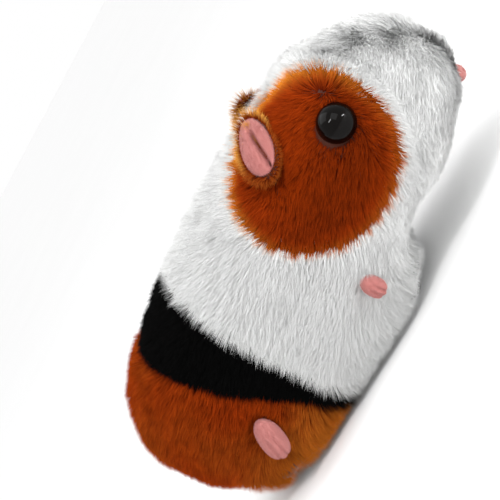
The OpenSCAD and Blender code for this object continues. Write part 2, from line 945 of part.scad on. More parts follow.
// Body of the slide switch; the slider's flange runs in its hollow
module power_switch() {
    color("#303030") translate([switch_place[0], switch_place[1], 0]) difference() {
        box([-6.2, 6.2], [-3.2, 3.2], [floor_top, floor_top + 5.4]);
        box([-5.4, 5.4], [-2.4, 2.4], [floor_top - 1, floor_top + 2.4]);
    }
}

module switch_slider() {
    color("#b03030") translate([switch_place[0] - switch_travel / 2, switch_place[1], 0]) {
        difference() {
            box([-2, 2], [-1.5, 1.5], [belly_height - 1, floor_top + 1.4]);
            for (x = [-1, 0, 1])
                box([x - 0.2, x + 0.2], [-2, 2], [0, belly_height - 0.7]);
        }
        box([-3, 3], [-2, 2], [floor_top + 0.4, floor_top + 1.8]);
    }
}

// Plunger under the back: a broad cap, a rod through the roof and the collar that keeps it in
module touch_button() {
    color("ivory") translate([0, touch_y, 0]) {
        translate([0, 0, touch_cap]) cylinder(r = 12, h = 3, $fn = 48);
        translate([0, 0, touch_foot]) cylinder(r = touch_rod, h = touch_cap + 0.5 - touch_foot, $fn = 32);
        translate([0, 0, roof_under - 2.3]) cylinder(r = 3.2, h = 2, $fn = 32);
    }
}

module touch_spring() {
    color("silver") translate([0, touch_y, roof_top]) coil(3.6, 0.35, 5, touch_cap - roof_top);
}

// Two wires side by side along one route
module wire_pair(route, step) {
    wire(route, 0.5);
    wire([for (p = route) p + step], 0.5);
}

module motor_wires() {
    color("firebrick") {
        wire([[-13, 21.2, 31], [-13.2, 22.2, 31], [-16, 22.4, 31.8], [-19.4, 22.3, 33.6], [-21.7, 24, 35.4],
            [-21.8, 26.4, 36.4], [-21.7, 28.4, 36.6]], 0.5);
        wire([[-11.6, 21.2, 31.6], [-11.8, 22.2, 32], [-15, 22.3, 34.2], [-19, 22.3, 37], [-21.8, 24.4, 39],
            [-22.2, 30, 40.3], [-22.2, 35, 39.6], [-21.8, 37.2, 37.6]], 0.5);
    }
}

module speaker_wires() {
    color("firebrick") wire_pair([[6.4, -13.6, 32.7], [6.4, -13.4, 34], [6.3, -14.2, 35.3],
        [6.2, -15.4, 35.9], [6.1, -16.6, 36]], [-2, 0, 0]);
}

module battery_wires() {
    color("firebrick") wire_pair([[-10.2, 21.4, 30.2], [-10.2, 22.7, 29.5], [-10.2, 22.8, 26],
        [-10.2, 24.4, 22], [-10, 29, 21.4], [-9.6, 33, 21], [-8.4, 34.8, 17], [-7.6, 32.8, 13.2]],
        [1.6, 0, 0]);
}

white_fur();
eye_patch_right();
eye_patch_left();
saddle_band();
rump_fur();
hem_binding();
head_wadding();
body_wadding();
eye_right();
eye_left();
eye_washers();
nose();
ear_right();
ear_left();
ear_lining_right();
ear_lining_left();
front_paw_right();
front_paw_left();
hind_foot_right();
hind_foot_left();
lower_shell();
upper_shell();
shell_screws();
battery_door();
door_screw();
battery_right();
battery_left();
contact_springs();
contact_plates();
motor();
motor_shaft();
motor_pinion();
first_gear();
second_gear();
gear_pins();
inner_gear_plate();
outer_gear_plate();
drive_axle();
drive_gear();
wheel_right();
wheel_left();
tyre_right();
tyre_left();
stub_axle_right();
stub_axle_left();
roller_right();
roller_left();
circuit_board();
board_parts();
board_screws();
tact_switch();
speaker();
speaker_cone();
power_switch();
switch_slider();
touch_button();
touch_spring();
motor_wires();
speaker_wires();
battery_wires();
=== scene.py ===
"""A plush guinea pig that runs on a small chassis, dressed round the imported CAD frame.

Sizes in this file are millimetres in the frame's own axes: -Y is forward and +Z is up.
"""
import json
import math

import bpy
import numpy as np
from mathutils import Euler, Matrix, Vector, kdtree


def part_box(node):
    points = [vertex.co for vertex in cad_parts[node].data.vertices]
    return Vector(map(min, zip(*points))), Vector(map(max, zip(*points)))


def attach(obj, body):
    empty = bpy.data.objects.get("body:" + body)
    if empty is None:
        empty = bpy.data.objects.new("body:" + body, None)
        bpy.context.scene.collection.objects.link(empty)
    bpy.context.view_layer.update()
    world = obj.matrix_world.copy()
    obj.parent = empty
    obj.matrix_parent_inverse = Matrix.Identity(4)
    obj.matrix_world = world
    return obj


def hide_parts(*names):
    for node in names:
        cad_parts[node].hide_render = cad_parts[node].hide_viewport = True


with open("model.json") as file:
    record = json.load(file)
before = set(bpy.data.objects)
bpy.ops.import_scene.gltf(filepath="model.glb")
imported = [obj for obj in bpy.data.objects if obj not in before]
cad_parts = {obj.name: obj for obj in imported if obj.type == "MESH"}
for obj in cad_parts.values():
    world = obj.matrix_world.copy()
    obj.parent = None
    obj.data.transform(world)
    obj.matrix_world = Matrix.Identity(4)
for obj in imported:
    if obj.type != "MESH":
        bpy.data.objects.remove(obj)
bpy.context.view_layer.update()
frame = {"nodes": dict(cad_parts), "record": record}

MM = 0.001
scene = bpy.context.scene


# ---------- camera, lights and floor ----------

def make_camera(azimuth, elevation, roll, distance, view_angle, aim, shift):
    """A camera on the right side, turned azimuth towards the front, and rolled so that the head is up."""
    az, el, turn = (math.radians(v) for v in (azimuth, elevation, roll))
    back = Vector((-math.cos(el) * math.cos(az), -math.cos(el) * math.sin(az), math.sin(el)))
    forward = Vector((math.sin(az), -math.cos(az), 0))
    upward = back.cross(forward)
    right = forward * math.sin(turn) - upward * math.cos(turn)
    up = forward * math.cos(turn) + upward * math.sin(turn)
    data = bpy.data.cameras.new("camera")
    data.sensor_width = 36
    data.angle = math.radians(view_angle)
    data.shift_x, data.shift_y = shift
    data.clip_start, data.clip_end = 0.01, 20
    camera = bpy.data.objects.new("camera", data)
    scene.collection.objects.link(camera)
    turned = Matrix((right, up, back)).transposed().to_4x4()
    camera.matrix_world = Matrix.Translation(Vector(aim) * MM + back * distance * MM) @ turned
    scene.camera = camera


def make_lamp(name, place, aim, size, power, long_side=None):
    """A soft rectangular lamp at place that shines on aim; its second size runs along long_side."""
    data = bpy.data.lights.new(name, "AREA")
    data.shape = "RECTANGLE"
    data.size, data.size_y = (v * MM for v in size)
    data.energy = power
    lamp = bpy.data.objects.new(name, data)
    scene.collection.objects.link(lamp)
    place, aim = Vector(place) * MM, Vector(aim) * MM
    lamp.location = place
    lamp.rotation_mode = "QUATERNION"
    lamp.rotation_quaternion = (aim - place).to_track_quat("-Z", "Y")
    if long_side:
        back = (place - aim).normalized()
        across = Vector(long_side).cross(back).normalized()
        lamp.rotation_quaternion = Matrix((across, back.cross(across), back)).transposed().to_quaternion()


def make_world(colour, strength):
    """An even light from all round."""
    world = bpy.data.worlds.new("studio")
    world.use_nodes = True
    background = world.node_tree.nodes["Background"]
    background.inputs["Color"].default_value = (*colour, 1)
    background.inputs["Strength"].default_value = strength
    scene.world = world


make_camera(azimuth=15, elevation=12, roll=28, distance=620, view_angle=18.4,
            aim=(0, 0, 48), shift=(-0.09, 0.0))
make_world((1, 1, 1), 1.0)
scene.view_settings.view_transform = "Standard"
EYE_LIGHT, SLANT = (-36, -60, 68), (0.19, -0.94, -0.29)
make_lamp("key", (-420, -420, 520), (0, -10, 50), (420, 420), 1.2)
make_lamp("top", (60, 60, 700), (0, 0, 50), (500, 500), 1.5)
make_lamp("front_glint", (-200, -445, 60), EYE_LIGHT, (30, 120), 0.8, SLANT)
make_lamp("side_glint", (-304, -62, 388), EYE_LIGHT, (22, 140), 0.6, SLANT)


# ---------- building helpers ----------

def add_object(name, mesh):
    piece = bpy.data.objects.new(name, mesh)
    scene.collection.objects.link(piece)
    return piece


def mesh_of(name, points, faces, smooth=True):
    """A mesh from points in millimetres and faces as lists of point numbers."""
    mesh = bpy.data.meshes.new(name)
    mesh.from_pydata([tuple(p) for p in np.asarray(points, float) * MM], [], [tuple(f) for f in faces])
    mesh.update()
    if smooth:
        mesh.polygons.foreach_set("use_smooth", [True] * len(mesh.polygons))
    return mesh


def fit_onto(piece, body, slot, *nodes):
    """The piece rides on a body and stands for CAD nodes, which it hides. slot is not used."""
    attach(piece, body)
    if nodes:
        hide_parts(*nodes)


def set_attribute(mesh, name, values, kind="FLOAT"):
    values = np.ascontiguousarray(values, np.float32)
    attribute = mesh.attributes.new(name, kind, "POINT")
    attribute.data.foreach_set("vector" if kind == "FLOAT_VECTOR" else "value", values.ravel())


def unit(v):
    return v / np.maximum(np.linalg.norm(v, axis=-1, keepdims=True), 1e-9)


def dot(a, b):
    return np.sum(a * b, axis=-1)


def ramp(x, low, high):
    """A smooth step from 0 at low to 1 at high."""
    t = np.clip((np.asarray(x, float) - low) / (high - low), 0, 1)
    return t * t * (3 - 2 * t)


def bell(x):
    return np.exp(-np.square(x))


def turn_matrix(degrees):
    return np.array(Euler([math.radians(v) for v in degrees], "XYZ").to_matrix())


def circle(sides):
    """The corners of a circle of radius 1."""
    return [(math.cos(2 * math.pi * j / sides), math.sin(2 * math.pi * j / sides)) for j in range(sides)]


def capped_faces(rings, sides):
    """Faces of a form with a lower pole, rings of points and an upper pole, wound to face outwards."""
    faces = [(0, 1 + (j + 1) % sides, 1 + j) for j in range(sides)]
    for i in range(rings - 1):
        row = 1 + i * sides
        faces += [(row + j, row + (j + 1) % sides, row + sides + (j + 1) % sides, row + sides + j)
                  for j in range(sides)]
    end = 1 + (rings - 1) * sides
    return faces + [(end + sides, end + j, end + (j + 1) % sides) for j in range(sides)]


def ring_faces(sections, sides):
    """Faces of a closed ring: sections round it, each with the same count of points."""
    return [(i * sides + k, (i + 1) % sections * sides + k, (i + 1) % sections * sides + (k + 1) % sides,
             i * sides + (k + 1) % sides) for i in range(sections) for k in range(sides)]


def turned_over(faces):
    """The same faces, wound the other way from the same first corner."""
    return [(f[0], *f[:0:-1]) for f in faces]


def waves(points, length, seed, count=7):
    """Smooth noise from -1 to 1 made of crossed waves about length millimetres long."""
    rng = np.random.default_rng(seed)
    total = np.zeros(points.shape[:-1])
    for _ in range(count):
        way = unit(rng.normal(size=3)) * 2 * math.pi / length * rng.uniform(0.7, 1.5)
        total += np.sin(points @ way + rng.uniform(0, 2 * math.pi))
    return total / count * 1.7


# ---------- materials ----------

class Finish:
    """A material under construction: node() adds a shader node, set() wires a socket of the shader itself."""

    def __init__(self, name, **constants):
        self.material = bpy.data.materials.new(name)
        self.material.use_nodes = True
        self.tree = self.material.node_tree
        self.shader = self.tree.nodes["Principled BSDF"]
        for key, value in constants.items():
            self.shader.inputs[key.replace("_", " ")].default_value = value

    def node(self, kind, settings=None, **inputs):
        made = self.tree.nodes.new("ShaderNode" + kind)
        for key, value in (settings or {}).items():
            setattr(made, key, value)
        for key, value in inputs.items():
            number = key[1:]
            self.feed(made.inputs[int(number) if number.isdigit() else key.replace("_", " ")], value)
        return made

    def feed(self, socket, value):
        """Wires a socket from another one, or gives it a constant."""
        if isinstance(value, bpy.types.NodeSocket):
            self.tree.links.new(value, socket)
        else:
            socket.default_value = value

    def set(self, key, socket):
        self.tree.links.new(socket, self.shader.inputs[key])

    def place(self):
        return self.node("TexCoord").outputs["Object"]

    def attribute(self, name):
        return self.node("Attribute", {"attribute_name": name}).outputs["Fac"]

    def noise(self, size_mm, detail=2.0, rough=0.5, vector=None):
        return self.node("TexNoise", Vector=vector or self.place(), Scale=1 / (size_mm * MM), Detail=detail,
                         Roughness=rough).outputs["Fac"]

    def mix(self, share, first, second):
        """Two colours mixed: the Mix node's colour sockets are its inputs 6 and 7 and its output 2."""
        made = self.node("Mix", {"data_type": "RGBA"})
        self.feed(made.inputs[0], share)
        for number, colour in ((6, first), (7, second)):
            self.feed(made.inputs[number], (*colour, 1) if isinstance(colour, tuple) else colour)
        return made.outputs[2]

    def maths(self, operation, first, second=0.0, third=0.0):
        return self.node("Math", {"operation": operation}, i0=first, i1=second, i2=third).outputs[0]

    def between(self, value, low, high):
        made = self.node("MapRange", {"clamp": True}, Value=value, From_Min=low, From_Max=high)
        return made.outputs["Result"]

    def bump(self, height, depth_mm, strength=1.0):
        made = self.node("Bump", Height=height, Distance=depth_mm * MM, Strength=strength)
        self.set("Normal", made.outputs["Normal"])


RIM_TINT_FROM, RIM_TINT_FULL = 0.25, 0.95
LOCK_PATCH = 6.0


def pile_finish(name, root, tip, gold_and_crease_shade, uneven, sheen, deep=0.5, soft=1.2, shine=0.02):
    """Fur strands: dark at the root as painted shade deep in the pile, then the coat's colour, then the rim
    colour.

    The root's colour fades out at deep along the strand. Towards the tip, where rim is high, the strands take
    the rim colour: golden on the brown coats, painted shade in the pink lining's crease. The higher soft is,
    the more the strands are shaded like the skin under them.
    """
    f = Finish(name, Roughness=0.7, Sheen_Weight=sheen, Sheen_Roughness=0.5, Specular_IOR_Level=shine)
    along, shade, rim = (f.attribute(a) for a in ("along", "shade", "rim"))
    # Painted shade: each strand is darker from its root up to deep along it.
    body = f.mix(f.between(along, 0.0, deep), root, tip)
    # Towards the tip the rim colour: golden on the brown coats, painted shade along the pink lining's crease.
    rim_tint = f.mix(f.maths("MULTIPLY", rim, f.between(along, RIM_TINT_FROM, RIM_TINT_FULL)), body, gold_and_crease_shade)
    lock = f.maths("MULTIPLY_ADD", f.noise(LOCK_PATCH, 2.0), uneven / 2, 1 - uneven / 4)
    value = f.maths("MULTIPLY", lock, f.maths("MULTIPLY_ADD", shade, uneven, 1 - uneven / 2))
    f.set("Base Color", f.node("HueSaturation", Color=rim_tint, Value=value).outputs["Color"])
    skin = f.node("Attribute", {"attribute_name": "skin"}).outputs["Vector"]
    own = f.node("NewGeometry").outputs["Normal"]
    both = f.node("VectorMath", {"operation": "MULTIPLY_ADD"}, i0=skin, i1=(soft, soft, soft), i2=own)
    way = f.node("VectorMath", {"operation": "NORMALIZE"}, i0=both.outputs["Vector"])
    f.set("Normal", way.outputs["Vector"])
    return f.material


def cloth_finish(name, dark, light, cell_mm, depth_mm, rough=0.85):
    """Short woven or brushed cloth with fine cells and slow colour changes."""
    f = Finish(name, Roughness=rough, Sheen_Weight=0.4, Sheen_Roughness=0.5, Specular_IOR_Level=0.2)
    fine = f.noise(cell_mm, 3.0, 0.6)
    slow = f.noise(cell_mm * 9, 2.0)
    share = f.maths("MULTIPLY_ADD", fine, 0.7, f.maths("MULTIPLY", slow, 0.3))
    f.set("Base Color", f.mix(share, dark, light))
    f.bump(fine, depth_mm)
    return f.material


def moulded_finish(name, colour, rough, grain_mm=0.5, metal=0.0, coat=0.0):
    """Moulded plastic or cast metal: fine spark grain, faint flow marks and an uneven rubbed sheen."""
    f = Finish(name, Metallic=metal, Coat_Weight=coat, Coat_Roughness=0.15)
    slow, fine = f.noise(9.0, 3.0), f.noise(grain_mm, 2.0)
    dark = tuple(c * 0.84 for c in colour)
    light = tuple(min(c * 1.1 + 0.01, 1.0) for c in colour)
    share = f.maths("MULTIPLY_ADD", fine, 0.35, f.maths("MULTIPLY", slow, 0.65))
    f.set("Base Color", f.mix(share, dark, light))
    f.set("Roughness", f.maths("MULTIPLY_ADD", slow, 0.25, rough - 0.1))
    f.bump(fine, 0.03)
    return f.material


def turned_metal_finish(name, colour, rough):
    """Plated or turned metal with fine lines round X and slightly uneven polish."""
    f = Finish(name, Metallic=1.0)
    lines = f.node("TexWave", {"wave_type": "BANDS", "bands_direction": "X"}, Vector=f.place(), Scale=1500.0,
                   Distortion=3.0, Detail=3.0, Detail_Scale=0.4).outputs["Fac"]
    slow = f.noise(5.0, 3.0)
    f.set("Base Color", f.mix(slow, tuple(c * 0.82 for c in colour), colour))
    f.set("Roughness", f.maths("MULTIPLY_ADD", lines, 0.14, rough))
    f.bump(lines, 0.008)
    return f.material


def eye_finish():
    """Black lacquered plastic: almost black brown, wet gloss, with faint waviness in the dome."""
    f = Finish("eye_gloss", Roughness=0.04, IOR=1.2)
    f.set("Base Color", f.mix(f.noise(4.0, 2.0), (0.0008, 0.0006, 0.0005), (0.003, 0.002, 0.0015)))
    f.bump(f.noise(7.0, 1.0), 0.03, 0.2)
    return f.material


def board_finish():
    """Green laminate: solder mask over copper tracks that run in steps."""
    black, white = (0, 0, 0, 1), (1, 1, 1, 1)
    f = Finish("board_mask", Coat_Weight=0.4, Coat_Roughness=0.2, Roughness=0.35)
    tracks = f.node("TexBrick", {"offset": 0.5, "squash": 2.0}, Vector=f.place(), Scale=160.0,
                    Mortar_Size=0.035, Mortar_Smooth=0.15, Color1=black, Color2=black, Mortar=white)
    tracks = tracks.outputs["Color"]
    f.set("Base Color", f.mix(tracks, (0.008, 0.09, 0.035), (0.02, 0.2, 0.07)))
    f.bump(tracks, 0.06)
    return f.material


def jacket_finish():
    """A cell's printed sleeve: a dark body with a copper-coloured end and fine print grain."""
    f = Finish("cell_sleeve", Roughness=0.32, Coat_Weight=0.5, Coat_Roughness=0.1)
    along = f.node("SeparateXYZ", Vector=f.place()).outputs["Y"]
    band = f.maths("GREATER_THAN", along, 0.014)
    f.set("Base Color", f.mix(band, (0.02, 0.022, 0.03), (0.5, 0.2, 0.06)))
    f.bump(f.noise(0.4, 2.0), 0.02)
    return f.material


def rubber_finish():
    """Soft black rubber with a dusty, rubbed face."""
    f = Finish("tyre_rubber", Specular_IOR_Level=0.3)
    dust = f.noise(1.6, 4.0, 0.65)
    f.set("Base Color", f.mix(f.between(dust, 0.45, 0.75), (0.012, 0.012, 0.013), (0.06, 0.058, 0.055)))
    f.set("Roughness", f.maths("MULTIPLY_ADD", dust, 0.3, 0.55))
    f.bump(dust, 0.08)
    return f.material


def filling_finish():
    """Loose white polyester fibre."""
    f = Finish("polyester_filling", Roughness=0.9, Sheen_Weight=0.3, Specular_IOR_Level=0.1)
    bent = f.node("TexNoise", Vector=f.place(), Scale=90.0, Detail=2.0).outputs["Color"]
    crimp = f.node("VectorMath", {"operation": "MULTIPLY_ADD"}, i0=bent, i1=(0.01, 0.01, 0.01), i2=f.place())
    lines = f.node("TexWave", {"wave_type": "BANDS"}, Vector=crimp.outputs["Vector"], Scale=600.0,
                   Distortion=8.0, Detail=3.0).outputs["Fac"]
    f.set("Base Color", f.mix(lines, (0.62, 0.62, 0.6), (0.9, 0.9, 0.88)))
    f.bump(lines, 0.4)
    return f.material


def floor_finish():
    """A plain pale studio floor."""
    f = Finish("pale_floor", Roughness=0.75, Specular_IOR_Level=0.15)
    f.set("Base Color", f.mix(f.noise(120.0, 3.0), (0.95, 0.95, 0.95), (0.985, 0.985, 0.985)))
    return f.material


def make_floor(reach, rings=3, sides=64):
    """A wide pale disc under the toy."""
    points = [(0, 0, 0)]
    for i in range(1, rings + 1):
        radius = reach * i / rings
        points += [(radius * x, radius * y, 0) for x, y in circle(sides)]
    faces = turned_over(capped_faces(rings, sides)[:-sides])
    floor = add_object("floor", mesh_of("floor", points, faces))
    floor.data.materials.append(floor_finish())


make_floor(6000)


# ---------- the shape of the stuffed skin ----------

LENGTH, HALF_HEIGHT, HALF_WIDTH = 210.0, 43.5, 44.0
SNOUT_LENGTH, SEAT_START, END_ROUNDNESS = 75.0, 150.0, 2.3
BACK_SQUARENESS, BELLY_SQUARENESS, BELLY_FLATNESS = 2.2, 2.3, 1.3
MIDDLE_HEIGHT, SEAT_DROP = 50.8, 8.5
BAND_FRONT, BAND_REAR, BAND_RISE, BAND_COSINE = 32.0, 37.0, 3, 0.949
PATCH_CENTER, PATCH_RADIUS, PATCH_PITCH = np.array([0, -43, 55.0]), 33.0, math.radians(22)
PATCH_WAY = np.array([-math.cos(PATCH_PITCH), 0, math.sin(PATCH_PITCH)])
BLAZE_POINT, BLAZE_TURN = np.array([-3.0, -46.0]), math.radians(9)
CHASSIS_HALF_WIDTH, CHASSIS_Y, CHASSIS_CORNER = 25.0, (-22.0, 80.0), 9.0
WHITE, PATCH_RIGHT, PATCH_LEFT, BAND, RUMP = range(5)
SIDES = (-1, 1)
LUMPS = ((0.9, 52, 11), (0.45, 24, 12))
SEAM_DEPTH = 1.1


def signed_power(x, p):
    return np.sign(x) * np.abs(x) ** p


def fullness(s):
    """The share of the full height and width at station s: rounded at the snout and at the seat."""
    end = np.where(s > SEAT_START, (s - SEAT_START) / (LENGTH - SEAT_START), 0)
    t = np.where(s < SNOUT_LENGTH, 1 - s / SNOUT_LENGTH, end)
    return np.maximum(0, 1 - np.abs(t) ** END_ROUNDNESS) ** (1 / END_ROUNDNESS)


def chin(s):
    """How far the throat and the chin are drawn up at station s."""
    return 10 * bell((s - 62) / 17) + 4.5 * bell((s - 28) / 16)


def form_point(s, a, inset):
    """The skin's outer surface at station s from the snout and angle a, moved in by inset."""
    s, a = np.broadcast_arrays(np.asarray(s, float), np.asarray(a, float))
    low = np.sin(a) < 0
    power = np.where(low, BELLY_SQUARENESS + BELLY_FLATNESS * bell((s - 110) / 55), BACK_SQUARENESS)
    full = fullness(s)
    height = (HALF_HEIGHT - inset) * full - np.where(low, chin(s) * full, 0)
    width = (HALF_WIDTH - inset) * full
    middle = MIDDLE_HEIGHT - SEAT_DROP * (s / LENGTH) ** 2
    return np.stack([width * signed_power(np.cos(a), 2 / power),
                     (s - LENGTH / 2) * (1 - 2 * inset / LENGTH),
                     middle + height * signed_power(np.sin(a), 2 / power)], axis=-1)


def side_of(p, side):
    """The points as the right side's, for side -1, or mirrored from the left side, for side +1."""
    return p * np.array([-side, 1, 1])


def patch_edge(p):
    """How far a point of the right side is inside the patch's edge, in millimetres; below 0 it is outside."""
    q = p - PATCH_CENTER
    along = dot(q, PATCH_WAY)
    away = np.linalg.norm(q - along[..., None] * PATCH_WAY, axis=-1)
    blaze = ((p[..., 0] - BLAZE_POINT[0]) * math.cos(BLAZE_TURN)
             + (p[..., 1] - BLAZE_POINT[1]) * math.sin(BLAZE_TURN))
    return np.where(along > 0, np.minimum(PATCH_RADIUS - away, -blaze), -50.0)


def seams(p):
    """Distances past the seams: inside each patch's edge, and behind the band's front and rear edges."""
    right, left = (patch_edge(side_of(p, side)) for side in SIDES)
    front = p[..., 1] - BAND_FRONT
    rear = (p[..., 1] - BAND_REAR - p[..., 2] / BAND_RISE) * BAND_COSINE
    return right, left, front, rear


def zone_of(p, wobble=0.0, spread=0.0):
    """Which coat covers a point of the skin; spread lets the patches' pile grow over their seams."""
    right, left, front, rear = seams(p)
    zone = np.full(p.shape[:-1], WHITE)
    zone[right + wobble + spread > 0] = PATCH_RIGHT
    zone[left + wobble + spread > 0] = PATCH_LEFT
    zone[front + wobble > 0] = BAND
    zone[(rear + wobble > 0) & (front + wobble > 0)] = RUMP
    return zone


def opening_gap(p):
    """Distance outside the chassis's rounded outline, seen from below, and the way out of it."""
    middle_y = sum(CHASSIS_Y) / 2
    half = np.array([CHASSIS_HALF_WIDTH, (CHASSIS_Y[1] - CHASSIS_Y[0]) / 2]) - CHASSIS_CORNER
    q = np.stack([p[..., 0], p[..., 1] - middle_y], axis=-1)
    over = np.abs(q) - half
    outside = np.maximum(over, 0)
    gap = np.linalg.norm(outside, axis=-1) + np.minimum(np.max(over, axis=-1), 0) - CHASSIS_CORNER
    way = np.sign(q) * np.where(outside > 0, outside, 0)
    return gap, unit(np.where(np.sum(way ** 2, axis=-1, keepdims=True) > 0, way, q))


def skin_point(s, a, inset):
    """The stuffed skin: the form with soft lumps from its filling, pulled in a little along the seams."""
    p = form_point(s, a, 0.0)
    lumps = sum(height * waves(p, length, seed) for height, length, seed in LUMPS)
    right, left, front, rear = seams(p)
    groove = bell(right / 2.6) + bell(left / 2.6) + bell(front / 3.2) + bell(rear / 3.0)
    low = ramp(14 - p[..., 2], 0, 8)
    return form_point(s, a, inset - lumps * (1 - low) + SEAM_DEPTH * np.minimum(groove, 1.0))


def skin_normal(s, a, inset, ds=0.4, da=0.02, end=0.01):
    """The way out of the skin, from points a small step apart along and round it."""
    ahead, behind = np.minimum(s + ds, LENGTH - end), np.maximum(s - ds, end)
    along = skin_point(ahead, a, inset) - skin_point(behind, a, inset)
    return unit(np.cross(along, skin_point(s, a + da, inset) - skin_point(s, a - da, inset)))


BACKING_INSET, BACKING_THICKNESS = 4.6, 0.9
BACKING_RINGS, BACKING_SIDES = 110, 120
BACKING_GAP, BACKING_GAP_TOP = 3.4, 16
COATS = (
    (WHITE, "white_backing", "white_coat", ("snout", "face", "neck", "collar", "shoulders"),
     "white_fur", "white_plush"),
    (PATCH_RIGHT, "eye_patch_backing_right", "eye_patch_coat_right", ("",), "eye_patch_right", "brown_plush"),
    (PATCH_LEFT, "eye_patch_backing_left", "eye_patch_coat_left", ("",), "eye_patch_left", "brown_plush"),
    (BAND, "saddle_backing", "saddle_coat", ("",), "saddle_band", "black_plush"),
    (RUMP, "rump_backing", "rump_coat", ("hips", "seat", "tail"), "rump_fur", "brown_plush"),
)


def station(t):
    """A place along the form, 0 to LENGTH for t from 0 to 1, closer together at the ends."""
    return LENGTH * (1 - np.cos(math.pi * t)) / 2


def make_backings(finish_of):
    """The knitted cloth that each coat is rooted in, one closed thin shell for each colour zone."""
    t = np.linspace(0, 1, BACKING_RINGS + 1)[1:-1]
    angle = np.linspace(0, 2 * math.pi, BACKING_SIDES + 1)[:-1]
    s, a = (v.ravel() for v in np.meshgrid(station(t), angle, indexing="ij"))
    s, a = np.concatenate([[0.02], s, [LENGTH - 0.02]]), np.concatenate([[0.0], a, [0.0]])
    points, outer = skin_point(s, a, BACKING_INSET), form_point(s, a, 0.0)
    faces = turned_over(capped_faces(BACKING_RINGS - 1, BACKING_SIDES))
    middles = np.array([outer[list(f)].mean(0) for f in faces])
    gap, _ = opening_gap(middles)
    closed = (gap >= BACKING_GAP) | (middles[:, 2] >= BACKING_GAP_TOP)
    zones = zone_of(middles)
    for zone, name, _, _, node, slot in COATS:
        kept = [faces[i] for i in np.flatnonzero((zones == zone) & closed)]
        used = sorted({v for f in kept for v in f})
        place = {v: i for i, v in enumerate(used)}
        piece = add_object(name, mesh_of(name, points[used], [[place[v] for v in f] for f in kept]))
        wall = piece.modifiers.new("cloth", "SOLIDIFY")
        wall.thickness, wall.offset, wall.use_even_offset = BACKING_THICKNESS * MM, -1, False
        piece.data.materials.append(finish_of[zone])
        fit_onto(piece, "body", slot, node)


# ---------- fur ----------

class Face:
    """Something set into the coat: its place, its turn and the half sizes of the gap it needs."""

    def __init__(self, place, turns, half):
        self.place, self.turn, self.half = np.array(place, float), np.eye(3), np.array(half, float)
        for turn in turns:
            self.turn = self.turn @ turn_matrix(turn)

    def local(self, p):
        return (p - self.place) @ self.turn

    def reach(self, p):
        """1 on the ellipse round the thing, seen along its own Z; below 1 inside it."""
        q = self.local(p)
        return np.linalg.norm(q[..., :2] / self.half, axis=-1), q


EYE = Face((-34.8, -59.4, 67), [(0, -68, 12)], (7.8, 7.8))
EAR = Face((-27.2, -35.4, 86), [(28, -31, -27)], (15, 7.5))
PAW = Face((-43, -13.5, 24.5), [(0, -90, 0)], (6.5, 4.5))
FOOT = Face((-42.5, 60, 26.5), [(25, 0, 0), (0, -90, 0)], (9.5, 6))
NOSE = Face((0, -93.5, 29), [(90, 0, 0)], (6, 4))
STRAND_COUNT = 392000
STRAND_WIDTH = 0.17
FLOOR_GAP = 0.35
SKIRT_LIMIT = 15.0
PATCH_SPREAD = 1.6
COAT_SEED, LOCK_SPACING = 7, 2.4
COAT_GAP, COAT_GAP_TOP = 3.8, 17

# Each coat's pile length, its lean from upright in degrees and how firmly its locks hold, in zone order.
PILE = (9.0, 7.6, 7.6, 7.0, 8.0)
LEAN = (44, 50, 50, 52, 48)
LOCK_PULL = (0.13, 0.3, 0.3, 0.3, 0.3)

# What is set into the coat. Cleared: the reach and depth with no strands. Parted: how far round it the
# strands turn aside, and how strongly. Trimmed: how far round it they are shorter, and their least share.
CLEARED = ((EYE, 0.94, 14), (EAR, 0.8, 14), (PAW, 0.6, 12), (FOOT, 0.62, 12), (NOSE, 0.7, 10))
PARTED = ((EYE, 1.7, 0.9), (EAR, 1.6, 1.4), (FOOT, 1.5, 0.7), (PAW, 1.6, 0.5))
TRIMMED = ((EYE, 2.0, 0.45), (EAR, 1.5, 0.6), (FOOT, 1.5, 0.65), (PAW, 1.5, 0.9), (NOSE, 1.8, 0.8))


def both_sides(outer, rows):
    """Each row's thing on the right and on the left: its reach and its own coordinates at every point."""
    for thing, *values in rows:
        for side in SIDES:
            yield thing, side, *thing.reach(side_of(outer, side)), *values


def sample_skin(count, rng):
    """Evenly spread random places on the whole form, as stations and angles."""
    t = np.linspace(0.002, 0.998, 240)
    angle = np.linspace(0, 2 * math.pi, 241)
    s, a = np.meshgrid(station(t), angle, indexing="ij")
    p = form_point(s, a, BACKING_INSET)
    side, across = p[1:, :-1] - p[:-1, :-1], p[:-1, 1:] - p[:-1, :-1]
    area = np.linalg.norm(np.cross(side, across), axis=-1)
    share = (area / area.sum()).ravel()
    cell = rng.choice(share.size, size=count, p=share)
    i, j = np.divmod(cell, area.shape[1])
    u, v = rng.uniform(size=count), rng.uniform(size=count)
    return s[i, 0] + u * (s[i + 1, 0] - s[i, 0]), angle[j] + v * (angle[j + 1] - angle[j])


def in_patches(zone):
    return (zone == PATCH_RIGHT) | (zone == PATCH_LEFT)


def skirt_share(outer):
    """How far a strand belongs to the fringe that hangs round the opening, and the way out of the opening."""
    gap, out = opening_gap(outer)
    span = 17 - 8 * ramp(-18 - outer[:, 1], 0, 8)
    return ramp(span - gap, 0, 0.6 * span) * ramp(24 - outer[:, 2], 0, 12), out


def throat_share(outer):
    """1 under the throat, 0 elsewhere."""
    return ramp(30 - outer[:, 2], 0, 16) * ramp(-24 - outer[:, 1], 0, 12)


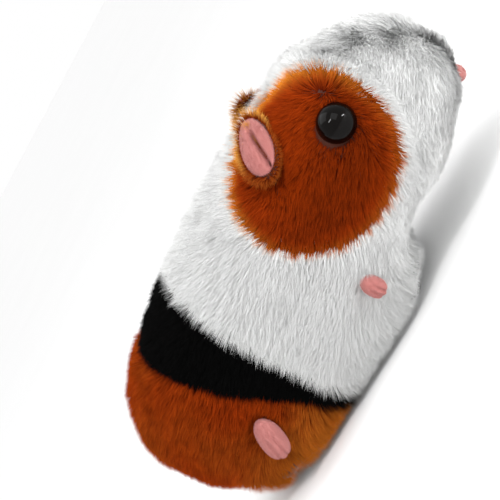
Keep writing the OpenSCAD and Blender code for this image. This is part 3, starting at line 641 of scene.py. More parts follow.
def strand_ways(p, outer, normal, zone, rng):
    """The way each strand points: combed back and down, parted round what is set into the coat."""
    comb = np.array([0, 1.0, 0]) + np.array([0, 0, -0.45]) * ramp(outer[:, 2], 12, 70)[:, None]
    face = ramp(-60 - outer[:, 1], 0, 34)
    aside = np.clip(outer[:, 0] / 16, -1, 1)
    parted = np.column_stack([1.2 * aside, np.full(len(p), 0.5), 0.9 - 1.1 * np.abs(aside)])
    comb = comb * (1 - face)[:, None] + parted * face[:, None]
    comb = comb + np.array([0, 0, -1.2]) * ramp(outer[:, 1], 78, 104)[:, None]
    near, out = skirt_share(outer)
    comb = comb * (1 - 0.8 * near[:, None])
    edge = np.maximum(*(patch_edge(side_of(outer, side)) for side in SIDES))
    side = np.where(outer[:, 0] < 0, -1.0, 1.0)
    way = PATCH_WAY * np.column_stack([-side, np.ones_like(side), np.ones_like(side)])
    q = outer - PATCH_CENTER
    radial = unit(q - dot(q, way)[:, None] * way)
    comb = comb + radial * (in_patches(zone) * ramp(12 - edge, 0, 12) * 1.8)[:, None]
    comb = comb + radial * ((zone == WHITE) * ramp(edge + 9, 0, 7) * 1.6)[:, None]
    for thing, side, r, local, far, force in both_sides(outer, PARTED):
        close = ramp(far - r, 0, far - 0.9) * (np.abs(local[:, 2]) < 22)
        push = np.column_stack([local[:, :2], np.zeros(len(r))]) @ thing.turn.T
        comb = comb + side_of(unit(push), side) * (close * force)[:, None]
    along = unit(comb - dot(comb, normal)[:, None] * normal)
    lean = np.choose(zone, LEAN) + 9 * waves(p, 17, 21) + 18 * throat_share(outer) + 20 * face
    lean = np.radians(lean)[:, None]
    swirl = np.stack([waves(p, 13, seed) for seed in (31, 32, 33)], axis=-1) * 0.13
    stray = rng.normal(scale=0.13, size=p.shape)
    way = normal * np.cos(lean) + along * np.sin(lean) + swirl + stray
    skirt = np.column_stack([out * 0.22, -np.ones(len(out))])
    return unit(way * (1 - near[:, None]) + (skirt + 0.6 * (swirl + stray)) * near[:, None])


def gather_locks(p, tip, zone, rng, spacing, crowd=8.0):
    """Draws neighbouring strands' tips into small locks; returns the tips and each lock's own shade."""
    count = int(len(p) / (spacing ** 2 * crowd))
    heads = rng.choice(len(p), size=count, replace=False)
    tree = kdtree.KDTree(count)
    for number, head in enumerate(heads):
        tree.insert(p[head], number)
    tree.balance()
    nearest = heads[np.fromiter((tree.find(q)[1] for q in p), int, len(p))]
    hold = (np.choose(zone, LOCK_PULL) * rng.uniform(0.4, 1.0, len(p)))[:, None]
    shade = rng.uniform(size=len(p))
    return tip * (1 - hold) + tip[nearest] * hold, shade[nearest]


def make_strand():
    """The strand that every coat repeats: a thin closed three-sided spike one unit tall."""
    mesh = bpy.data.meshes.new("strand")
    corners = [(x, y, 0) for x, y in circle(3)]
    mesh.from_pydata([*corners, (0, 0, 1)], [], [(0, 2, 1), (0, 1, 3), (1, 2, 3), (2, 0, 3)])
    set_attribute(mesh, "along", [0, 0, 0, 1])
    strand = add_object("strand", mesh)
    strand.hide_render = True
    return strand


def new_tree(name, inputs, output):
    """An empty Geometry Nodes tree with named inputs and one geometry output."""
    tree = bpy.data.node_groups.new(name, "GeometryNodeTree")
    for title, kind in inputs:
        tree.interface.new_socket(title, in_out="INPUT", socket_type="NodeSocket" + kind)
    tree.interface.new_socket(output, in_out="OUTPUT", socket_type="NodeSocketGeometry")
    return tree, tree.nodes.new("NodeGroupInput").outputs, tree.nodes.new("NodeGroupOutput")


def named_attribute(tree, name, kind):
    made = tree.nodes.new("GeometryNodeInputNamedAttribute")
    made.data_type = kind
    made.inputs["Name"].default_value = name
    return made.outputs["Attribute"]


def pile_tree():
    """Geometry Nodes: one strand on each root, turned to its lay, with its own length and a random girth."""
    inputs = (("Roots", "Geometry"), ("Strand", "Object"), ("Strand Width", "Float"),
              ("Finish", "Material"), ("Seed", "Int"))
    tree, given, result = new_tree("pile", inputs, "Coat")
    add, join = tree.nodes.new, tree.links.new

    def random_between(low, high, offset):
        made = add("FunctionNodeRandomValue")
        made.data_type = "FLOAT"
        made.inputs[2].default_value, made.inputs[3].default_value = low, high
        shifted = add("ShaderNodeMath")
        shifted.operation = "ADD"
        join(given["Seed"], shifted.inputs[0])
        shifted.inputs[1].default_value = offset
        join(shifted.outputs[0], made.inputs["Seed"])
        return made.outputs[1]

    align = add("FunctionNodeAlignRotationToVector")
    align.axis = "Z"
    join(named_attribute(tree, "lay", "FLOAT_VECTOR"), align.inputs["Vector"])
    spin, roll = add("ShaderNodeCombineXYZ"), add("FunctionNodeEulerToRotation")
    join(random_between(0, 2 * math.pi, 1), spin.inputs["Z"])
    join(spin.outputs[0], roll.inputs[0])
    turned = add("FunctionNodeRotateRotation")
    turned.rotation_space = "LOCAL"
    join(align.outputs[0], turned.inputs[0])
    join(roll.outputs[0], turned.inputs[1])
    girth = add("ShaderNodeMath")
    girth.operation = "MULTIPLY"
    join(given["Strand Width"], girth.inputs[0])
    join(random_between(0.7, 1.3, 2), girth.inputs[1])
    size = add("ShaderNodeCombineXYZ")
    join(girth.outputs[0], size.inputs["X"])
    join(girth.outputs[0], size.inputs["Y"])
    join(named_attribute(tree, "reach", "FLOAT"), size.inputs["Z"])
    source = add("GeometryNodeObjectInfo")
    join(given["Strand"], source.inputs["Object"])
    place = add("GeometryNodeInstanceOnPoints")
    join(given["Roots"], place.inputs["Points"])
    join(source.outputs["Geometry"], place.inputs["Instance"])
    join(turned.outputs[0], place.inputs["Rotation"])
    join(size.outputs[0], place.inputs["Scale"])
    real, finish = add("GeometryNodeRealizeInstances"), add("GeometryNodeSetMaterial")
    join(place.outputs[0], real.inputs[0])
    join(real.outputs[0], finish.inputs["Geometry"])
    join(given["Finish"], finish.inputs["Material"])
    join(finish.outputs[0], result.inputs[0])
    return tree


def grow(name, roots, ways, skin, floats, tree, strand, finish, width, seed):
    """A coat of strands as one plain mesh; floats are each strand's reach, shade and rim."""
    mesh = bpy.data.meshes.new(name)
    mesh.vertices.add(len(roots))
    mesh.vertices.foreach_set("co", np.ascontiguousarray(roots * MM, np.float32).ravel())
    set_attribute(mesh, "lay", ways, "FLOAT_VECTOR")
    set_attribute(mesh, "skin", skin, "FLOAT_VECTOR")
    for key, values in floats.items():
        set_attribute(mesh, key, values)
    return run_tree(name, mesh, tree, {"Strand": strand, "Strand Width": width * MM, "Finish": finish,
                                       "Seed": seed})


def run_tree(name, mesh, tree, inputs):
    """What a tree makes of a mesh, as one plain mesh object."""
    source = add_object(name + ".source", mesh)
    modifier = source.modifiers.new(tree.name, "NODES")
    modifier.node_group = tree
    sockets = {item.name: item.identifier for item in tree.interface.items_tree if item.item_type == "SOCKET"}
    for title, value in inputs.items():
        modifier[sockets[title]] = value
    return bake_tree(source, name)


def bake_tree(source, name):
    """Turns an object with modifiers into a plain mesh object and removes the source."""
    depsgraph = bpy.context.evaluated_depsgraph_get()
    depsgraph.update()
    evaluated = source.evaluated_get(depsgraph)
    made = bpy.data.meshes.new_from_object(evaluated, preserve_all_data_layers=True, depsgraph=depsgraph)
    made.name = name
    for key in ("lay", "reach"):
        if key in made.attributes:
            made.attributes.remove(made.attributes[key])
    old = source.data
    bpy.data.objects.remove(source)
    bpy.data.meshes.remove(old)
    return add_object(name, made)


def place_roots(rng):
    """Stations, angles, form points and zones of all the strands, clear of what is set into the coat."""
    s, a = sample_skin(STRAND_COUNT, rng)
    outer = form_point(s, a, 0.0)
    zone = zone_of(outer, 0.7 * waves(outer, 5, 5), PATCH_SPREAD)
    gap, _ = opening_gap(outer)
    keep = (gap >= COAT_GAP) | (outer[:, 2] >= COAT_GAP_TOP)
    for _, _, r, local, limit, depth in both_sides(outer, CLEARED):
        keep &= (r >= limit) | (np.abs(local[:, 2]) >= depth)
    return s[keep], a[keep], outer[keep], zone[keep]


def strand_lengths(s, outer, zone, rng):
    """Each strand's length: shorter on the snout, under the throat and round what is set into the coat."""
    length = np.choose(zone, PILE) * rng.uniform(0.72, 1.12, len(s))
    length *= 1 - 0.25 * ramp(38 - s, 0, 30)
    length *= 1 - 0.45 * throat_share(outer)
    for _, _, r, local, far, least in both_sides(outer, TRIMMED):
        length *= 1 - (1 - least) * ramp(far - r, 0, far - 1) * (np.abs(local[:, 2]) < 20)
    return length


def hang_skirt(p, outer, ways, length, rng):
    """Lengthens the fringe round the opening until it almost reaches the floor."""
    near, _ = skirt_share(outer)
    hem = 0.6 + 3.4 * ramp(-12 - outer[:, 1], 0, 9) + 1.6 * rng.uniform(size=len(p))
    hang = (p[:, 2] - hem) / np.maximum(-ways[:, 2], 0.6)
    return length + near * np.clip(hang - length, 0, SKIRT_LIMIT - length)


def coat_colours(p, outer, zone, lock, rng):
    """How gilded each strand is, and its shade, which in the patches holds painted light towards the top."""
    right, left, _, rear = seams(outer)
    edge = np.where(zone == PATCH_RIGHT, right, np.where(zone == PATCH_LEFT, left, rear)) + PATCH_SPREAD
    high = ramp(outer[:, 2], 55, 80)
    low = ramp(48 - outer[:, 2], 0, 26) * ramp(-outer[:, 1], 30, 52)
    patch_rim = ramp(7.5 - edge, 0, 7) * np.maximum(0.35, np.maximum(high, low))
    rump_rim = 0.1 * ramp(waves(p, 34, 44), -0.7, 1.0) + 0.5 * ramp(30 - outer[:, 2], 0, 24)
    rim = np.where(zone == RUMP, rump_rim, patch_rim) * (0.6 + 0.6 * rng.uniform(size=len(p)))
    rim = np.clip(rim, 0, 1) * (zone != WHITE) * (zone != BAND)
    shade = 0.55 * lock + 0.45 * rng.uniform(size=len(p))
    # Painted light: the patches' strands are brighter towards the top; they are also brighter near the
    # patch's edge.
    edge_and_painted_top_light = np.maximum(ramp(13 - edge, 0, 13), 0.8 * high)
    return rim, np.where(in_patches(zone), 0.35 * shade + 0.65 * edge_and_painted_top_light, shade)


def make_coats(tree, strand, finish_of):
    """The long fur of the whole skin, cut into pieces of a workable size."""
    rng = np.random.default_rng(COAT_SEED)
    s, a, outer, zone = place_roots(rng)
    p, normal = skin_point(s, a, BACKING_INSET), skin_normal(s, a, BACKING_INSET)
    length = strand_lengths(s, outer, zone, rng)
    ways = strand_ways(p, outer, normal, zone, rng)
    length = hang_skirt(p, outer, ways, length, rng)
    tips, lock = gather_locks(p, p + ways * length[:, None], zone, rng, LOCK_SPACING)
    tips[:, 2] = np.maximum(tips[:, 2], FLOOR_GAP + 0.3 * rng.uniform(size=len(p)))
    ways, length = unit(tips - p), np.linalg.norm(tips - p, axis=-1)
    rim, shade = coat_colours(p, outer, zone, lock, rng)
    roots = p - normal * 0.3
    for number, (which, _, name, parts, node, slot) in enumerate(COATS):
        mine = np.flatnonzero(zone == which)
        mine = mine[np.argsort(p[mine, 1], kind="stable")]
        for part, i in zip(parts, np.array_split(mine, len(parts))):
            title = f"{name}_{part}" if part else name
            floats = {"reach": length[i] * MM, "shade": shade[i], "rim": rim[i]}
            coat = grow(title, roots[i], ways[i], normal[i], floats, tree, strand, finish_of[which],
                        STRAND_WIDTH, 100 + number)
            fit_onto(coat, "body", slot, node)


strand = make_strand()
pile = pile_tree()
white_pile = pile_finish("white_pile", (0.93, 0.93, 0.92), (0.95, 0.955, 0.945), (1, 1, 1), 0.04, 0.0,
                         soft=2.0, shine=0.05)
brown_pile = pile_finish("brown_pile", (0.07, 0.005, 0.0004), (0.32, 0.036, 0.0022), (0.92, 0.36, 0.04),
                         0.75, 0.0, deep=0.8)
black_pile = pile_finish("black_pile", (0.0008, 0.0008, 0.0008), (0.0025, 0.0025, 0.0025),
                         (0.02, 0.02, 0.02), 0.4, 0.0)
# The white and brown backings are darker than their pile: painted shade in the gaps between the strands.
white_cloth_painted_shade = cloth_finish("white_knit_painted_shade", (0.84, 0.84, 0.83), (0.93, 0.93, 0.92), 0.5, 0.15)
brown_cloth_painted_shade = cloth_finish("brown_knit_painted_shade", (0.03, 0.005, 0.001), (0.08, 0.015, 0.003), 0.5, 0.15)
black_cloth = cloth_finish("black_knit", (0.002, 0.002, 0.002), (0.005, 0.005, 0.005), 0.5, 0.15)
make_backings((white_cloth_painted_shade, brown_cloth_painted_shade, brown_cloth_painted_shade, black_cloth, brown_cloth_painted_shade))
make_coats(pile, strand, (white_pile, brown_pile, brown_pile, black_pile, brown_pile))


# ---------- eyes, ears, paws, feet and nose ----------

EYE_RADIUS, EYE_FLATNESS, EYE_SIDES = 7.8, 0.985, 72
EAR_HALF, EAR_HOLLOW, EAR_BACK, EAR_FRONT = (14.3, 7.0), (12.9, 6.0), 3.7, 3.0
LINING_HALF, LINING_LIFT = (13.1, 6.3), 1.6


def sphere_grid(rings, sides):
    """Directions on a ball whose poles are on Z, and its outward faces."""
    ways = [(0, 0, -1)]
    for i in range(1, rings):
        low = math.pi * i / rings
        ways += [(math.sin(low) * x, math.sin(low) * y, -math.cos(low)) for x, y in circle(sides)]
    ways.append((0, 0, 1))
    return np.array(ways), capped_faces(rings - 1, sides)


def lying_ball(rings, sides):
    """The same ball with its poles on X."""
    ways, faces = sphere_grid(rings, sides)
    return ways[:, [2, 0, 1]], faces


def set_in(local, face, side):
    """Points of a thing's own frame, in the toy's frame, on the right side for -1 or the left side for +1."""
    return side_of(face.place + local @ face.turn.T, side)


def faces_on(faces, side):
    """The faces of a thing drawn for the right side, wound to face outwards on the given side."""
    return faces if side < 0 else [tuple(reversed(f)) for f in faces]


def side_mesh(name, local, faces, face, side):
    """A mesh from points in a thing's own frame, right side out on both sides of the body."""
    return mesh_of(name, set_in(local, face, side), faces_on(faces, side))


def triangles_of(faces):
    """The faces cut into triangles from their first corners."""
    return np.array([(f[0], f[k], f[k + 1]) for f in faces for k in range(1, len(f) - 1)])


def roots_on(points, faces, count, rng):
    """Random roots on a mesh, evenly spread, and the outward way at each."""
    corners = points[triangles_of(faces)]
    cross = np.cross(corners[:, 1] - corners[:, 0], corners[:, 2] - corners[:, 0])
    area = np.linalg.norm(cross, axis=-1)
    pick = rng.choice(len(area), size=count, p=area / area.sum())
    u, v = rng.uniform(size=(2, count))
    fold = u + v > 1
    u[fold], v[fold] = 1 - u[fold], 1 - v[fold]
    c = corners[pick]
    return c[:, 0] + u[:, None] * (c[:, 1] - c[:, 0]) + v[:, None] * (c[:, 2] - c[:, 0]), unit(cross[pick])


def nap(name, points, faces, finish, density, reach, width, comb, seed, rim=None, where=None):
    """Short pile over a small piece: density strands for each square millimetre, leaning along comb."""
    corners = points[triangles_of(faces)]
    cross = np.cross(corners[:, 1] - corners[:, 0], corners[:, 2] - corners[:, 0])
    area = np.linalg.norm(cross, axis=-1).sum() / 2
    rng = np.random.default_rng(seed)
    roots, out = roots_on(points, faces, int(area * density), rng)
    kept = np.ones(len(roots), bool) if where is None else where(roots)
    roots, out = roots[kept], out[kept]
    way = unit(out + comb(roots) + rng.normal(scale=0.2, size=roots.shape))
    length = (reach(roots) if callable(reach) else reach) * rng.uniform(0.7, 1.15, len(roots))
    # rim gives each strand's share of the third colour: golden on the ear pile, painted shade along the
    # lining's crease.
    rim_tint = np.zeros(len(roots)) if rim is None else rim(roots) * rng.uniform(0.6, 1.2, len(roots))
    floats = {"reach": length * MM, "shade": rng.uniform(size=len(roots)), "rim": np.clip(rim_tint, 0, 1)}
    return grow(name, roots - out * 0.1, way, out, floats, pile, strand, finish, width, seed)


def join_pieces(name, pieces):
    """One object from several, which keeps each one's material and attributes."""
    for piece in bpy.context.selected_objects:
        piece.select_set(False)
    for piece in pieces:
        piece.select_set(True)
    bpy.context.view_layer.objects.active = pieces[0]
    bpy.ops.object.join()
    pieces[0].name = pieces[0].data.name = name
    return pieces[0]


def make_eye(name, side, finish):
    """A domed eye turned about its shank: shank, flange with a rounded lip, and a slightly flattened dome."""
    high = EYE_RADIUS * EYE_FLATNESS
    climb = np.linspace(0.03, math.pi / 2, 20)[:-1]
    dome = [(EYE_RADIUS * math.cos(t), high * math.sin(t) + 0.1) for t in climb]
    profile = [(0.9, -11.9), (2.1, -11.6), (2.15, -11.0), (1.95, -10.2), (2.15, -9.4), (2.15, -1.4),
               (2.7, -0.35), (6.9, 0.02), (7.5, 0.1), *dome]
    rings = [(r * x, r * y, z) for r, z in profile for x, y in circle(EYE_SIDES)]
    local = np.array([(0, 0, -12), *rings, (0, 0, high + 0.1)])
    piece = add_object(name, side_mesh(name, local, capped_faces(len(profile), EYE_SIDES), EYE, side))
    piece.data.materials.append(finish)
    fit_onto(piece, "body", "eye_plastic", name)


def leaf_grid(rings, sides, half_length, half_width):
    """A ball's ways and faces, and x and y on a leaf: fuller near its foot, with a round point at its tip."""
    ways, faces = lying_ball(rings, sides)
    x = ways[:, 0] * half_length
    t = np.clip(x / half_length, -1, 1)
    width = half_width * np.sqrt(np.maximum(0, 1 - t ** 2)) * (1 - 0.12 * t)
    width = width / np.maximum(np.sqrt(np.maximum(0, 1 - ways[:, 0] ** 2)), 1e-6)
    return ways, faces, x, ways[:, 1] * np.where(np.abs(ways[:, 0]) < 0.9999, width, 0)


def ear_shape():
    """The furred outside of an ear: a leaf hollowed where the lining lies, with a raised lip."""
    ways, faces, x, y = leaf_grid(26, 40, *EAR_HALF)
    z = ways[:, 2] * np.where(ways[:, 2] < 0, EAR_BACK, EAR_FRONT)
    inner = np.hypot(x / EAR_HOLLOW[0], y / EAR_HOLLOW[1])
    z = np.where(ways[:, 2] > 0, z - 2.9 * ramp(1 - inner, 0, 0.55), z)
    return np.column_stack([x, y, z]), faces


def crease_line(x):
    """Where the lining's fold runs, across the ear, at x along it."""
    return -0.3 - 2.6 * ramp(-x, -8, 12)


def lining_shape():
    """The pink lining: a soft leaf folded lengthways, one lobe fuller than the other, with a deep crease."""
    ways, faces, x, y = leaf_grid(44, 64, *LINING_HALF)
    crease = crease_line(x)
    depth = 3.0 * ramp(8.0 - x, 0, 5) * ramp(x + 13.0, 0, 2.0)
    lobes = 1.5 * ramp(y - crease, -0.3, 2.6) + 0.9 * ramp(crease - y, -0.3, 1.8)
    above = ways[:, 2] * (1.8 + lobes) + LINING_LIFT - depth * bell((y - crease) / 0.85) * ways[:, 2]
    z = np.where(ways[:, 2] > 0, above, ways[:, 2] * 1.2 + LINING_LIFT)
    return np.column_stack([x, y, z]), faces


def make_ear(side_name, side, brown, pink):
    """An ear: short golden-brown pile outside, a pink velour leaf inside."""
    local, faces = ear_shape()
    name = f"ear_{side_name}"
    shell = add_object(name, side_mesh(name, local, faces, EAR, side))
    # The ear's shell under its pile takes the dark brown backing: painted shade under the strands.
    shell.data.materials.append(brown_cloth_painted_shade)
    world, turned = set_in(local, EAR, side), faces_on(faces, side)

    def own(p):
        return EAR.local(side_of(p, side))

    def comb(p):
        q = own(p)
        way = np.column_stack([q[:, 0] * 0.05 + 0.35, q[:, 1] * 0.06, np.full(len(q), -0.05)])
        return side_of(way @ EAR.turn.T, side)

    def outside(p):
        q = own(p)
        return (q[:, 2] < 0.9) | (np.hypot(q[:, 0] / 13.4, q[:, 1] / 6.4) > 1)

    def rim_tint(p):
        q = own(p)
        return 0.1 + 0.9 * ramp(q[:, 0] + 0.9 * q[:, 1], -4, 6)

    def tuft(p):
        q = own(p)
        return 3.4 + 2.4 * ramp(q[:, 0], 4, 12) + 1.0 * ramp(q[:, 1], 0, 4) - 1.3 * ramp(-q[:, 1], 0, 4)

    coat = nap(f"{name}_pile", world, turned, brown, 9.0, tuft, 0.15, comb, 210, rim_tint, outside)
    joined = join_pieces(name, [shell, coat])
    fit_onto(joined, "body", "brown_plush", name)

    local, faces = lining_shape()
    name = f"ear_lining_{side_name}"
    leaf = add_object(name, side_mesh(name, local, faces, EAR, side))
    leaf.data.materials.append(pink_cloth)
    world, turned = set_in(local, EAR, side), faces_on(faces, side)

    def down(p):
        return side_of(np.tile([-0.5, 0, 0], (len(p), 1)) @ EAR.turn.T, side)

    # Painted shade: the lining's nap turns a darker pink along its crease.
    def fold(p):
        q = own(p)
        return 1.5 * bell((q[:, 1] - crease_line(q[:, 0])) / 1.15) * ramp(9 - q[:, 0], 0, 4) * (q[:, 2] > 1)

    fuzz = nap(f"{name}_nap", world, turned, pink, 22.0, 0.7, 0.07, down, 220, fold)
    joined = join_pieces(name, [leaf, fuzz])
    fit_onto(joined, "body", "pink_plush", name)


def toe_grooves(local, ways, across, along, reach, toes, depth):
    """Presses toe lines into the outer half of a foot, from its end back to reach."""
    y, z = local[:, across], local[:, along]
    half = np.abs(y).max()
    grooves = sum(bell((y - half * (2 * k / toes - 1) * 0.92) / 0.55) for k in range(1, toes))
    share = ramp(-z, -reach, 3.0 - reach) * ramp(ways[:, 2], -0.6, 0.3)
    return local - ways * (grooves * share * depth)[:, None]


def make_limb(name, face, side, half, toes, reach, pink, seed):
    """A stuffed pink paw or foot with toe lines and a short nap."""
    ways, faces = lying_ball(40, 64)
    local = ways * half
    local[:, 1] *= 1 + 0.16 * ramp(-local[:, 0], 0, half[0])
    local[:, 2] += 0.35 * ramp(-local[:, 0], 0, half[0])
    local = toe_grooves(local, ways, 1, 0, reach, toes, 0.55)
    limb = add_object(name, side_mesh(name, local, faces, face, side))
    limb.data.materials.append(pink_cloth)
    world, turned = set_in(local, face, side), faces_on(faces, side)

    def down(p):
        return side_of(np.tile([-0.6, 0, 0], (len(p), 1)) @ face.turn.T, side)

    fuzz = nap(f"{name}_nap", world, turned, pink, 20.0, 0.75, 0.07, down, seed)
    joined = join_pieces(name, [limb, fuzz])
    fit_onto(joined, "body", "pink_plush", name)


def make_nose(pink):
    """A small pink nose: a rounded triangle with two nostril dimples and the fold under it."""
    ways, faces = sphere_grid(28, 48)
    local = ways * np.array([4.9, 3.2, 3.2])
    local[:, 0] *= 1 + 0.14 * ramp(local[:, 1], -3, 3)
    for sign in (-1, 1):
        dimple = bell((local[:, 0] - sign * 2.3) / 0.9) * bell((local[:, 1] + 0.5) / 0.7)
        local[:, 2] -= 1.0 * dimple * (ways[:, 2] > 0)
    local[:, 2] -= 0.9 * bell(local[:, 0] / 0.45) * ramp(-local[:, 1], -0.4, 1.2) * (ways[:, 2] > 0)
    piece = add_object("nose", side_mesh("nose", local, faces, NOSE, -1))
    piece.data.materials.append(pink_cloth)
    fuzz = nap("nose_nap", set_in(local, NOSE, -1), faces, pink, 18.0, 0.5, 0.06, np.zeros_like, 260)
    fit_onto(join_pieces("nose", [piece, fuzz]), "body", "pink_plush", "nose")


# ---------- filling, binding and tyres ----------

def make_wadding(name, finish, seed):
    """Filling: the CAD solid's own space, remeshed, shrunk a little and made lumpy like packed fibre."""
    source = add_object(name + ".space", frame["nodes"][name].data.copy())
    weld = source.modifiers.new("weld", "WELD")
    weld.merge_threshold = 0.00001
    voxels = source.modifiers.new("voxels", "REMESH")
    voxels.mode, voxels.voxel_size = "VOXEL", 0.0025
    made = bake_tree(source, name)
    mesh = made.data
    co = np.zeros(len(mesh.vertices) * 3, np.float32)
    mesh.vertices.foreach_get("co", co)
    normals = np.zeros(len(mesh.vertices) * 3, np.float32)
    mesh.vertices.foreach_get("normal", normals)
    p, n = co.reshape(-1, 3) / MM, normals.reshape(-1, 3)
    sink = 1.9 + 0.8 * waves(p, 11, seed) + 0.5 * waves(p, 5, seed + 1)
    sunk = (p - n * np.maximum(sink, 0.6)[:, None]) * MM
    mesh.vertices.foreach_set("co", sunk.astype(np.float32).ravel())
    mesh.update()
    mesh.polygons.foreach_set("use_smooth", [True] * len(mesh.polygons))
    mesh.materials.clear()
    mesh.materials.append(finish)
    fit_onto(made, "body", "fibre_filling", name)


def rounded_outline(half_width, front, rear, corner, step=8):
    """Points round a rounded rectangle, anticlockwise seen from above."""
    x, points = half_width - corner, []
    for cx, cy, start in ((x, rear - corner, 0), (-x, rear - corner, 90), (-x, front + corner, 180),
                          (x, front + corner, 270)):
        turns = [math.radians(start + 90 * k / step) for k in range(step + 1)]
        points += [(cx + corner * math.cos(t), cy + corner * math.sin(t)) for t in turns]
    return points


def sweep_ring(outline, profile):
    """A closed ring: profile (out, up) carried round an outline."""
    outline = np.array(outline)
    along = unit(np.roll(outline, -1, axis=0) - np.roll(outline, 1, axis=0))
    out = np.column_stack([along[:, 1], -along[:, 0]])
    points = [(place[0] + way[0] * o, place[1] + way[1] * o, u) for place, way in zip(outline, out)
              for o, u in profile]
    return points, ring_faces(len(outline), len(profile))


def repeat_tree(name):
    """Geometry Nodes: a small part on every point of a path, turned to its way, joined to the base mesh."""
    inputs = (("Path", "Geometry"), ("Part", "Object"), ("Base", "Object"), ("Part Size", "Vector"),
              ("Finish", "Material"))
    tree, given, result = new_tree(name, inputs, "Made")
    add, join = tree.nodes.new, tree.links.new
    ways = [named_attribute(tree, title, "FLOAT_VECTOR") for title in ("along", "out")]
    first, second = add("FunctionNodeAlignRotationToVector"), add("FunctionNodeAlignRotationToVector")
    first.axis, second.axis, second.pivot_axis = "X", "Z", "X"
    join(ways[0], first.inputs["Vector"])
    join(first.outputs[0], second.inputs["Rotation"])
    join(ways[1], second.inputs["Vector"])
    part, base = add("GeometryNodeObjectInfo"), add("GeometryNodeObjectInfo")
    join(given["Part"], part.inputs["Object"])
    join(given["Base"], base.inputs["Object"])
    place, real = add("GeometryNodeInstanceOnPoints"), add("GeometryNodeRealizeInstances")
    join(given["Path"], place.inputs["Points"])
    join(part.outputs["Geometry"], place.inputs["Instance"])
    join(second.outputs[0], place.inputs["Rotation"])
    join(given["Part Size"], place.inputs["Scale"])
    both, finish = add("GeometryNodeJoinGeometry"), add("GeometryNodeSetMaterial")
    join(place.outputs[0], real.inputs[0])
    join(real.outputs[0], both.inputs[0])
    join(base.outputs["Geometry"], both.inputs[0])
    join(both.outputs[0], finish.inputs["Geometry"])
    join(given["Finish"], finish.inputs["Material"])
    join(finish.outputs[0], result.inputs[0])
    return tree


def repeat_round(name, tree, places, along, out, part, base, size, finish):
    """The base mesh with the part repeated at each place, as one plain mesh."""
    mesh = bpy.data.meshes.new(name)
    mesh.from_pydata([tuple(p) for p in np.asarray(places) * MM], [], [])
    set_attribute(mesh, "along", along, "FLOAT_VECTOR")
    set_attribute(mesh, "out", out, "FLOAT_VECTOR")
    return run_tree(name, mesh, tree, {"Part": part, "Base": base, "Part Size": [v * MM for v in size],
                                       "Finish": finish})


def block_part(name, taper, round_to):
    """A small rounded block, one unit long, wide and high, whose top is narrower by taper."""
    ways, faces = sphere_grid(6, 8)
    turned = ways @ np.array(Euler((0, 0, math.pi / 8)).to_matrix()).T
    points = np.sign(turned) * np.abs(turned) ** round_to * 0.5
    points[:, :2] *= 1 - taper * (points[:, 2:] + 0.5)
    mesh = bpy.data.meshes.new(name)
    mesh.from_pydata([tuple(p) for p in points], [], faces)
    part = add_object(name, mesh)
    part.hide_render = True
    return part


def make_binding(tree, stitch, finish):
    """The tape sewn round the belly opening, folded over a cord, with a row of stitches."""
    low, high, width, stitch_step, stitch_size = 6.4, 9.2, 3.1, 2.6, (1.7, 0.42, 0.36)
    profile = [(0.15, low + 0.5), (0.5, low + 0.1), (1.2, low), (2.3, low + 0.05), (width - 0.15, low + 0.5),
               (width, low + 1.3), (width - 0.2, high - 0.5), (width - 0.8, high - 0.05), (0.9, high),
               (0.3, high - 0.3), (0.12, high - 0.9)]
    outline = []
    corners = rounded_outline(CHASSIS_HALF_WIDTH, *CHASSIS_Y, CHASSIS_CORNER, 10)
    for a, b in zip(corners, corners[1:] + corners[:1]):
        steps = max(1, int(math.dist(a, b) / 2.0))
        outline += [tuple(np.array(a) + (np.array(b) - np.array(a)) * k / steps) for k in range(steps)]
    points, faces = sweep_ring(outline, profile)
    base = add_object("binding.base", mesh_of("binding.base", points, faces))
    base.hide_render = True
    line = np.array(outline)
    gaps = np.linalg.norm(np.roll(line, -1, axis=0) - line, axis=-1)
    total = gaps.sum()
    count = int(total / stitch_step)
    marks = np.linspace(0, total, count, endpoint=False)
    starts = np.concatenate([[0], np.cumsum(gaps)])
    closed = np.vstack([line, line[:1]])
    xy = np.column_stack([np.interp(marks, starts, closed[:, k]) for k in range(2)])
    ahead = np.column_stack([np.interp((marks + 0.5) % total, starts, closed[:, k]) for k in range(2)]) - xy
    along = unit(np.column_stack([ahead, np.zeros(count)]))
    out = np.column_stack([along[:, 1], -along[:, 0], np.zeros(count)])
    places = np.column_stack([xy, np.full(count, low + 0.02)]) + out * 1.75
    piece = repeat_round("hem_binding", tree, places, along, np.tile([0, 0, -1.0], (count, 1)), stitch, base,
                         stitch_size, finish)
    bpy.data.objects.remove(base)
    fit_onto(piece, "body", "binding_tape", "hem_binding")


def make_tyre(name, body, tree, lug, finish, lugs=36, sides=72):
    """A soft tyre with a band of slanted tread lugs in two rows."""
    low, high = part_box(name)
    inside, radius = 13.0, (high.z / MM - low.z / MM) / 2
    middle = np.array([(low[k] + high[k]) / 2 / MM for k in range(3)])
    half = (high.x - low.x) / 2 / MM
    shoulder = [(radius - 1.2, half), (radius - 0.75, half - 0.35), (radius - 0.5, half - 0.9)]
    profile = [(inside, -half), *((r, -x) for r, x in shoulder), *reversed(shoulder), (inside, half)]
    points = [middle + np.array([x, r * c, r * s]) for c, s in circle(sides) for r, x in profile]
    faces = turned_over(ring_faces(sides, len(profile)))
    base = add_object(name + ".base", mesh_of(name + ".base", points, faces))
    base.hide_render = True
    places, along, out = [], [], []
    for row, shift in ((-1, 0.0), (1, 0.5)):
        for i in range(lugs):
            angle = 2 * math.pi * (i + shift) / lugs
            way = np.array([0, math.cos(angle), math.sin(angle)])
            round_way = np.array([0, -math.sin(angle), math.cos(angle)])
            places.append(middle + way * (radius - 0.42) + np.array([row * half * 0.47, 0, 0]))
            along.append(unit(np.array([1.0, 0, 0]) + round_way * 0.45 * row))
            out.append(way)
    piece = repeat_round(name, tree, places, along, out, lug, base, (half * 0.86, 1.1, 0.84), finish)
    bpy.data.objects.remove(base)
    fit_onto(piece, body, "tyre_rubber", name)


# ---------- finishes of the hard parts ----------

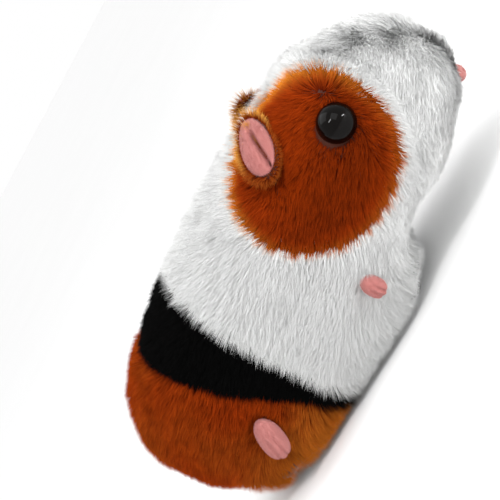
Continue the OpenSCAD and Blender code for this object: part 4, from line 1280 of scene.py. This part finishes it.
def finish_hard_parts():
    """Gives every CAD node that stays its material, by the slot it is listed under."""
    finishes = {
        "eye_plastic": eye_finish(),
        "white_plastic": moulded_finish("white_moulding", (0.78, 0.78, 0.75), 0.45),
        "shell_plastic": moulded_finish("shell_moulding", (0.5, 0.51, 0.5), 0.5),
        "gear_plastic": moulded_finish("acetal_gears", (0.82, 0.8, 0.72), 0.32, 0.3),
        "gear_plate_plastic": moulded_finish("gear_plates", (0.12, 0.2, 0.3), 0.42),
        "wheel_plastic": moulded_finish("wheel_moulding", (0.045, 0.045, 0.05), 0.4),
        "tyre_rubber": rubber_finish(),
        "black_plastic": moulded_finish("black_moulding", (0.02, 0.02, 0.022), 0.38),
        "red_plastic": moulded_finish("red_moulding", (0.5, 0.03, 0.02), 0.35),
        "plated_steel": turned_metal_finish("plated_steel", (0.72, 0.71, 0.68), 0.26),
        "spring_steel": turned_metal_finish("spring_steel", (0.6, 0.6, 0.58), 0.3),
        "can_steel": turned_metal_finish("can_steel", (0.66, 0.66, 0.65), 0.36),
        "brass": turned_metal_finish("brass", (0.78, 0.55, 0.2), 0.28),
        "cell_jacket": jacket_finish(),
        "board_laminate": board_finish(),
        "cone_paper": cloth_finish("cone_paper", (0.012, 0.012, 0.012), (0.045, 0.043, 0.04), 0.6, 0.08),
        "wire_jacket": moulded_finish("wire_jacket", (0.42, 0.02, 0.015), 0.4, 0.3),
    }
    for row in frame["record"]["subparts"]:
        node = frame["nodes"].get(row["node"])
        if node is not None and row["material_slot"] in finishes and not node.hide_render:
            node.data.materials.clear()
            node.data.materials.append(finishes[row["material_slot"]])
    return finishes


pink_cloth = cloth_finish("pink_velour", (0.42, 0.15, 0.14), (0.55, 0.22, 0.2), 0.4, 0.12)
# pink_nap's third colour, a darker pink, is painted shade along the ear lining's crease.
pink_nap = pile_finish("pink_nap", (0.40, 0.13, 0.12), (0.60, 0.245, 0.225), (0.34, 0.07, 0.07), 0.15, 0.1)
ear_pile = pile_finish("ear_pile", (0.12, 0.012, 0.001), (0.34, 0.05, 0.004), (0.98, 0.52, 0.1), 0.4, 0.0,
                       deep=0.8)
tape_cloth = cloth_finish("binding_tape", (0.05, 0.05, 0.05), (0.13, 0.13, 0.13), 0.35, 0.12)
filling = filling_finish()
finishes = finish_hard_parts()
repeat = repeat_tree("repeat")
stitch, lug = block_part("stitch", 0.1, 0.8), block_part("lug", 0.12, 0.45)
for side_name, side in (("right", -1), ("left", 1)):
    make_eye(f"eye_{side_name}", side, finishes["eye_plastic"])
    make_ear(side_name, side, ear_pile, pink_nap)
    make_limb(f"front_paw_{side_name}", PAW, side, (5.2, 3.6, 4.2), 3, 2.5, pink_nap, 230)
    make_limb(f"hind_foot_{side_name}", FOOT, side, (9.2, 4.9, 4.3), 3, 3.5, pink_nap, 240)
    make_tyre(f"tyre_{side_name}", "drive", repeat, lug, finishes["tyre_rubber"])
make_nose(pink_nap)
make_wadding("head_wadding", filling, 71)
make_wadding("body_wadding", filling, 81)
make_binding(repeat, stitch, tape_cloth)
for spare in (strand, stitch, lug):
    bpy.data.objects.remove(spare)
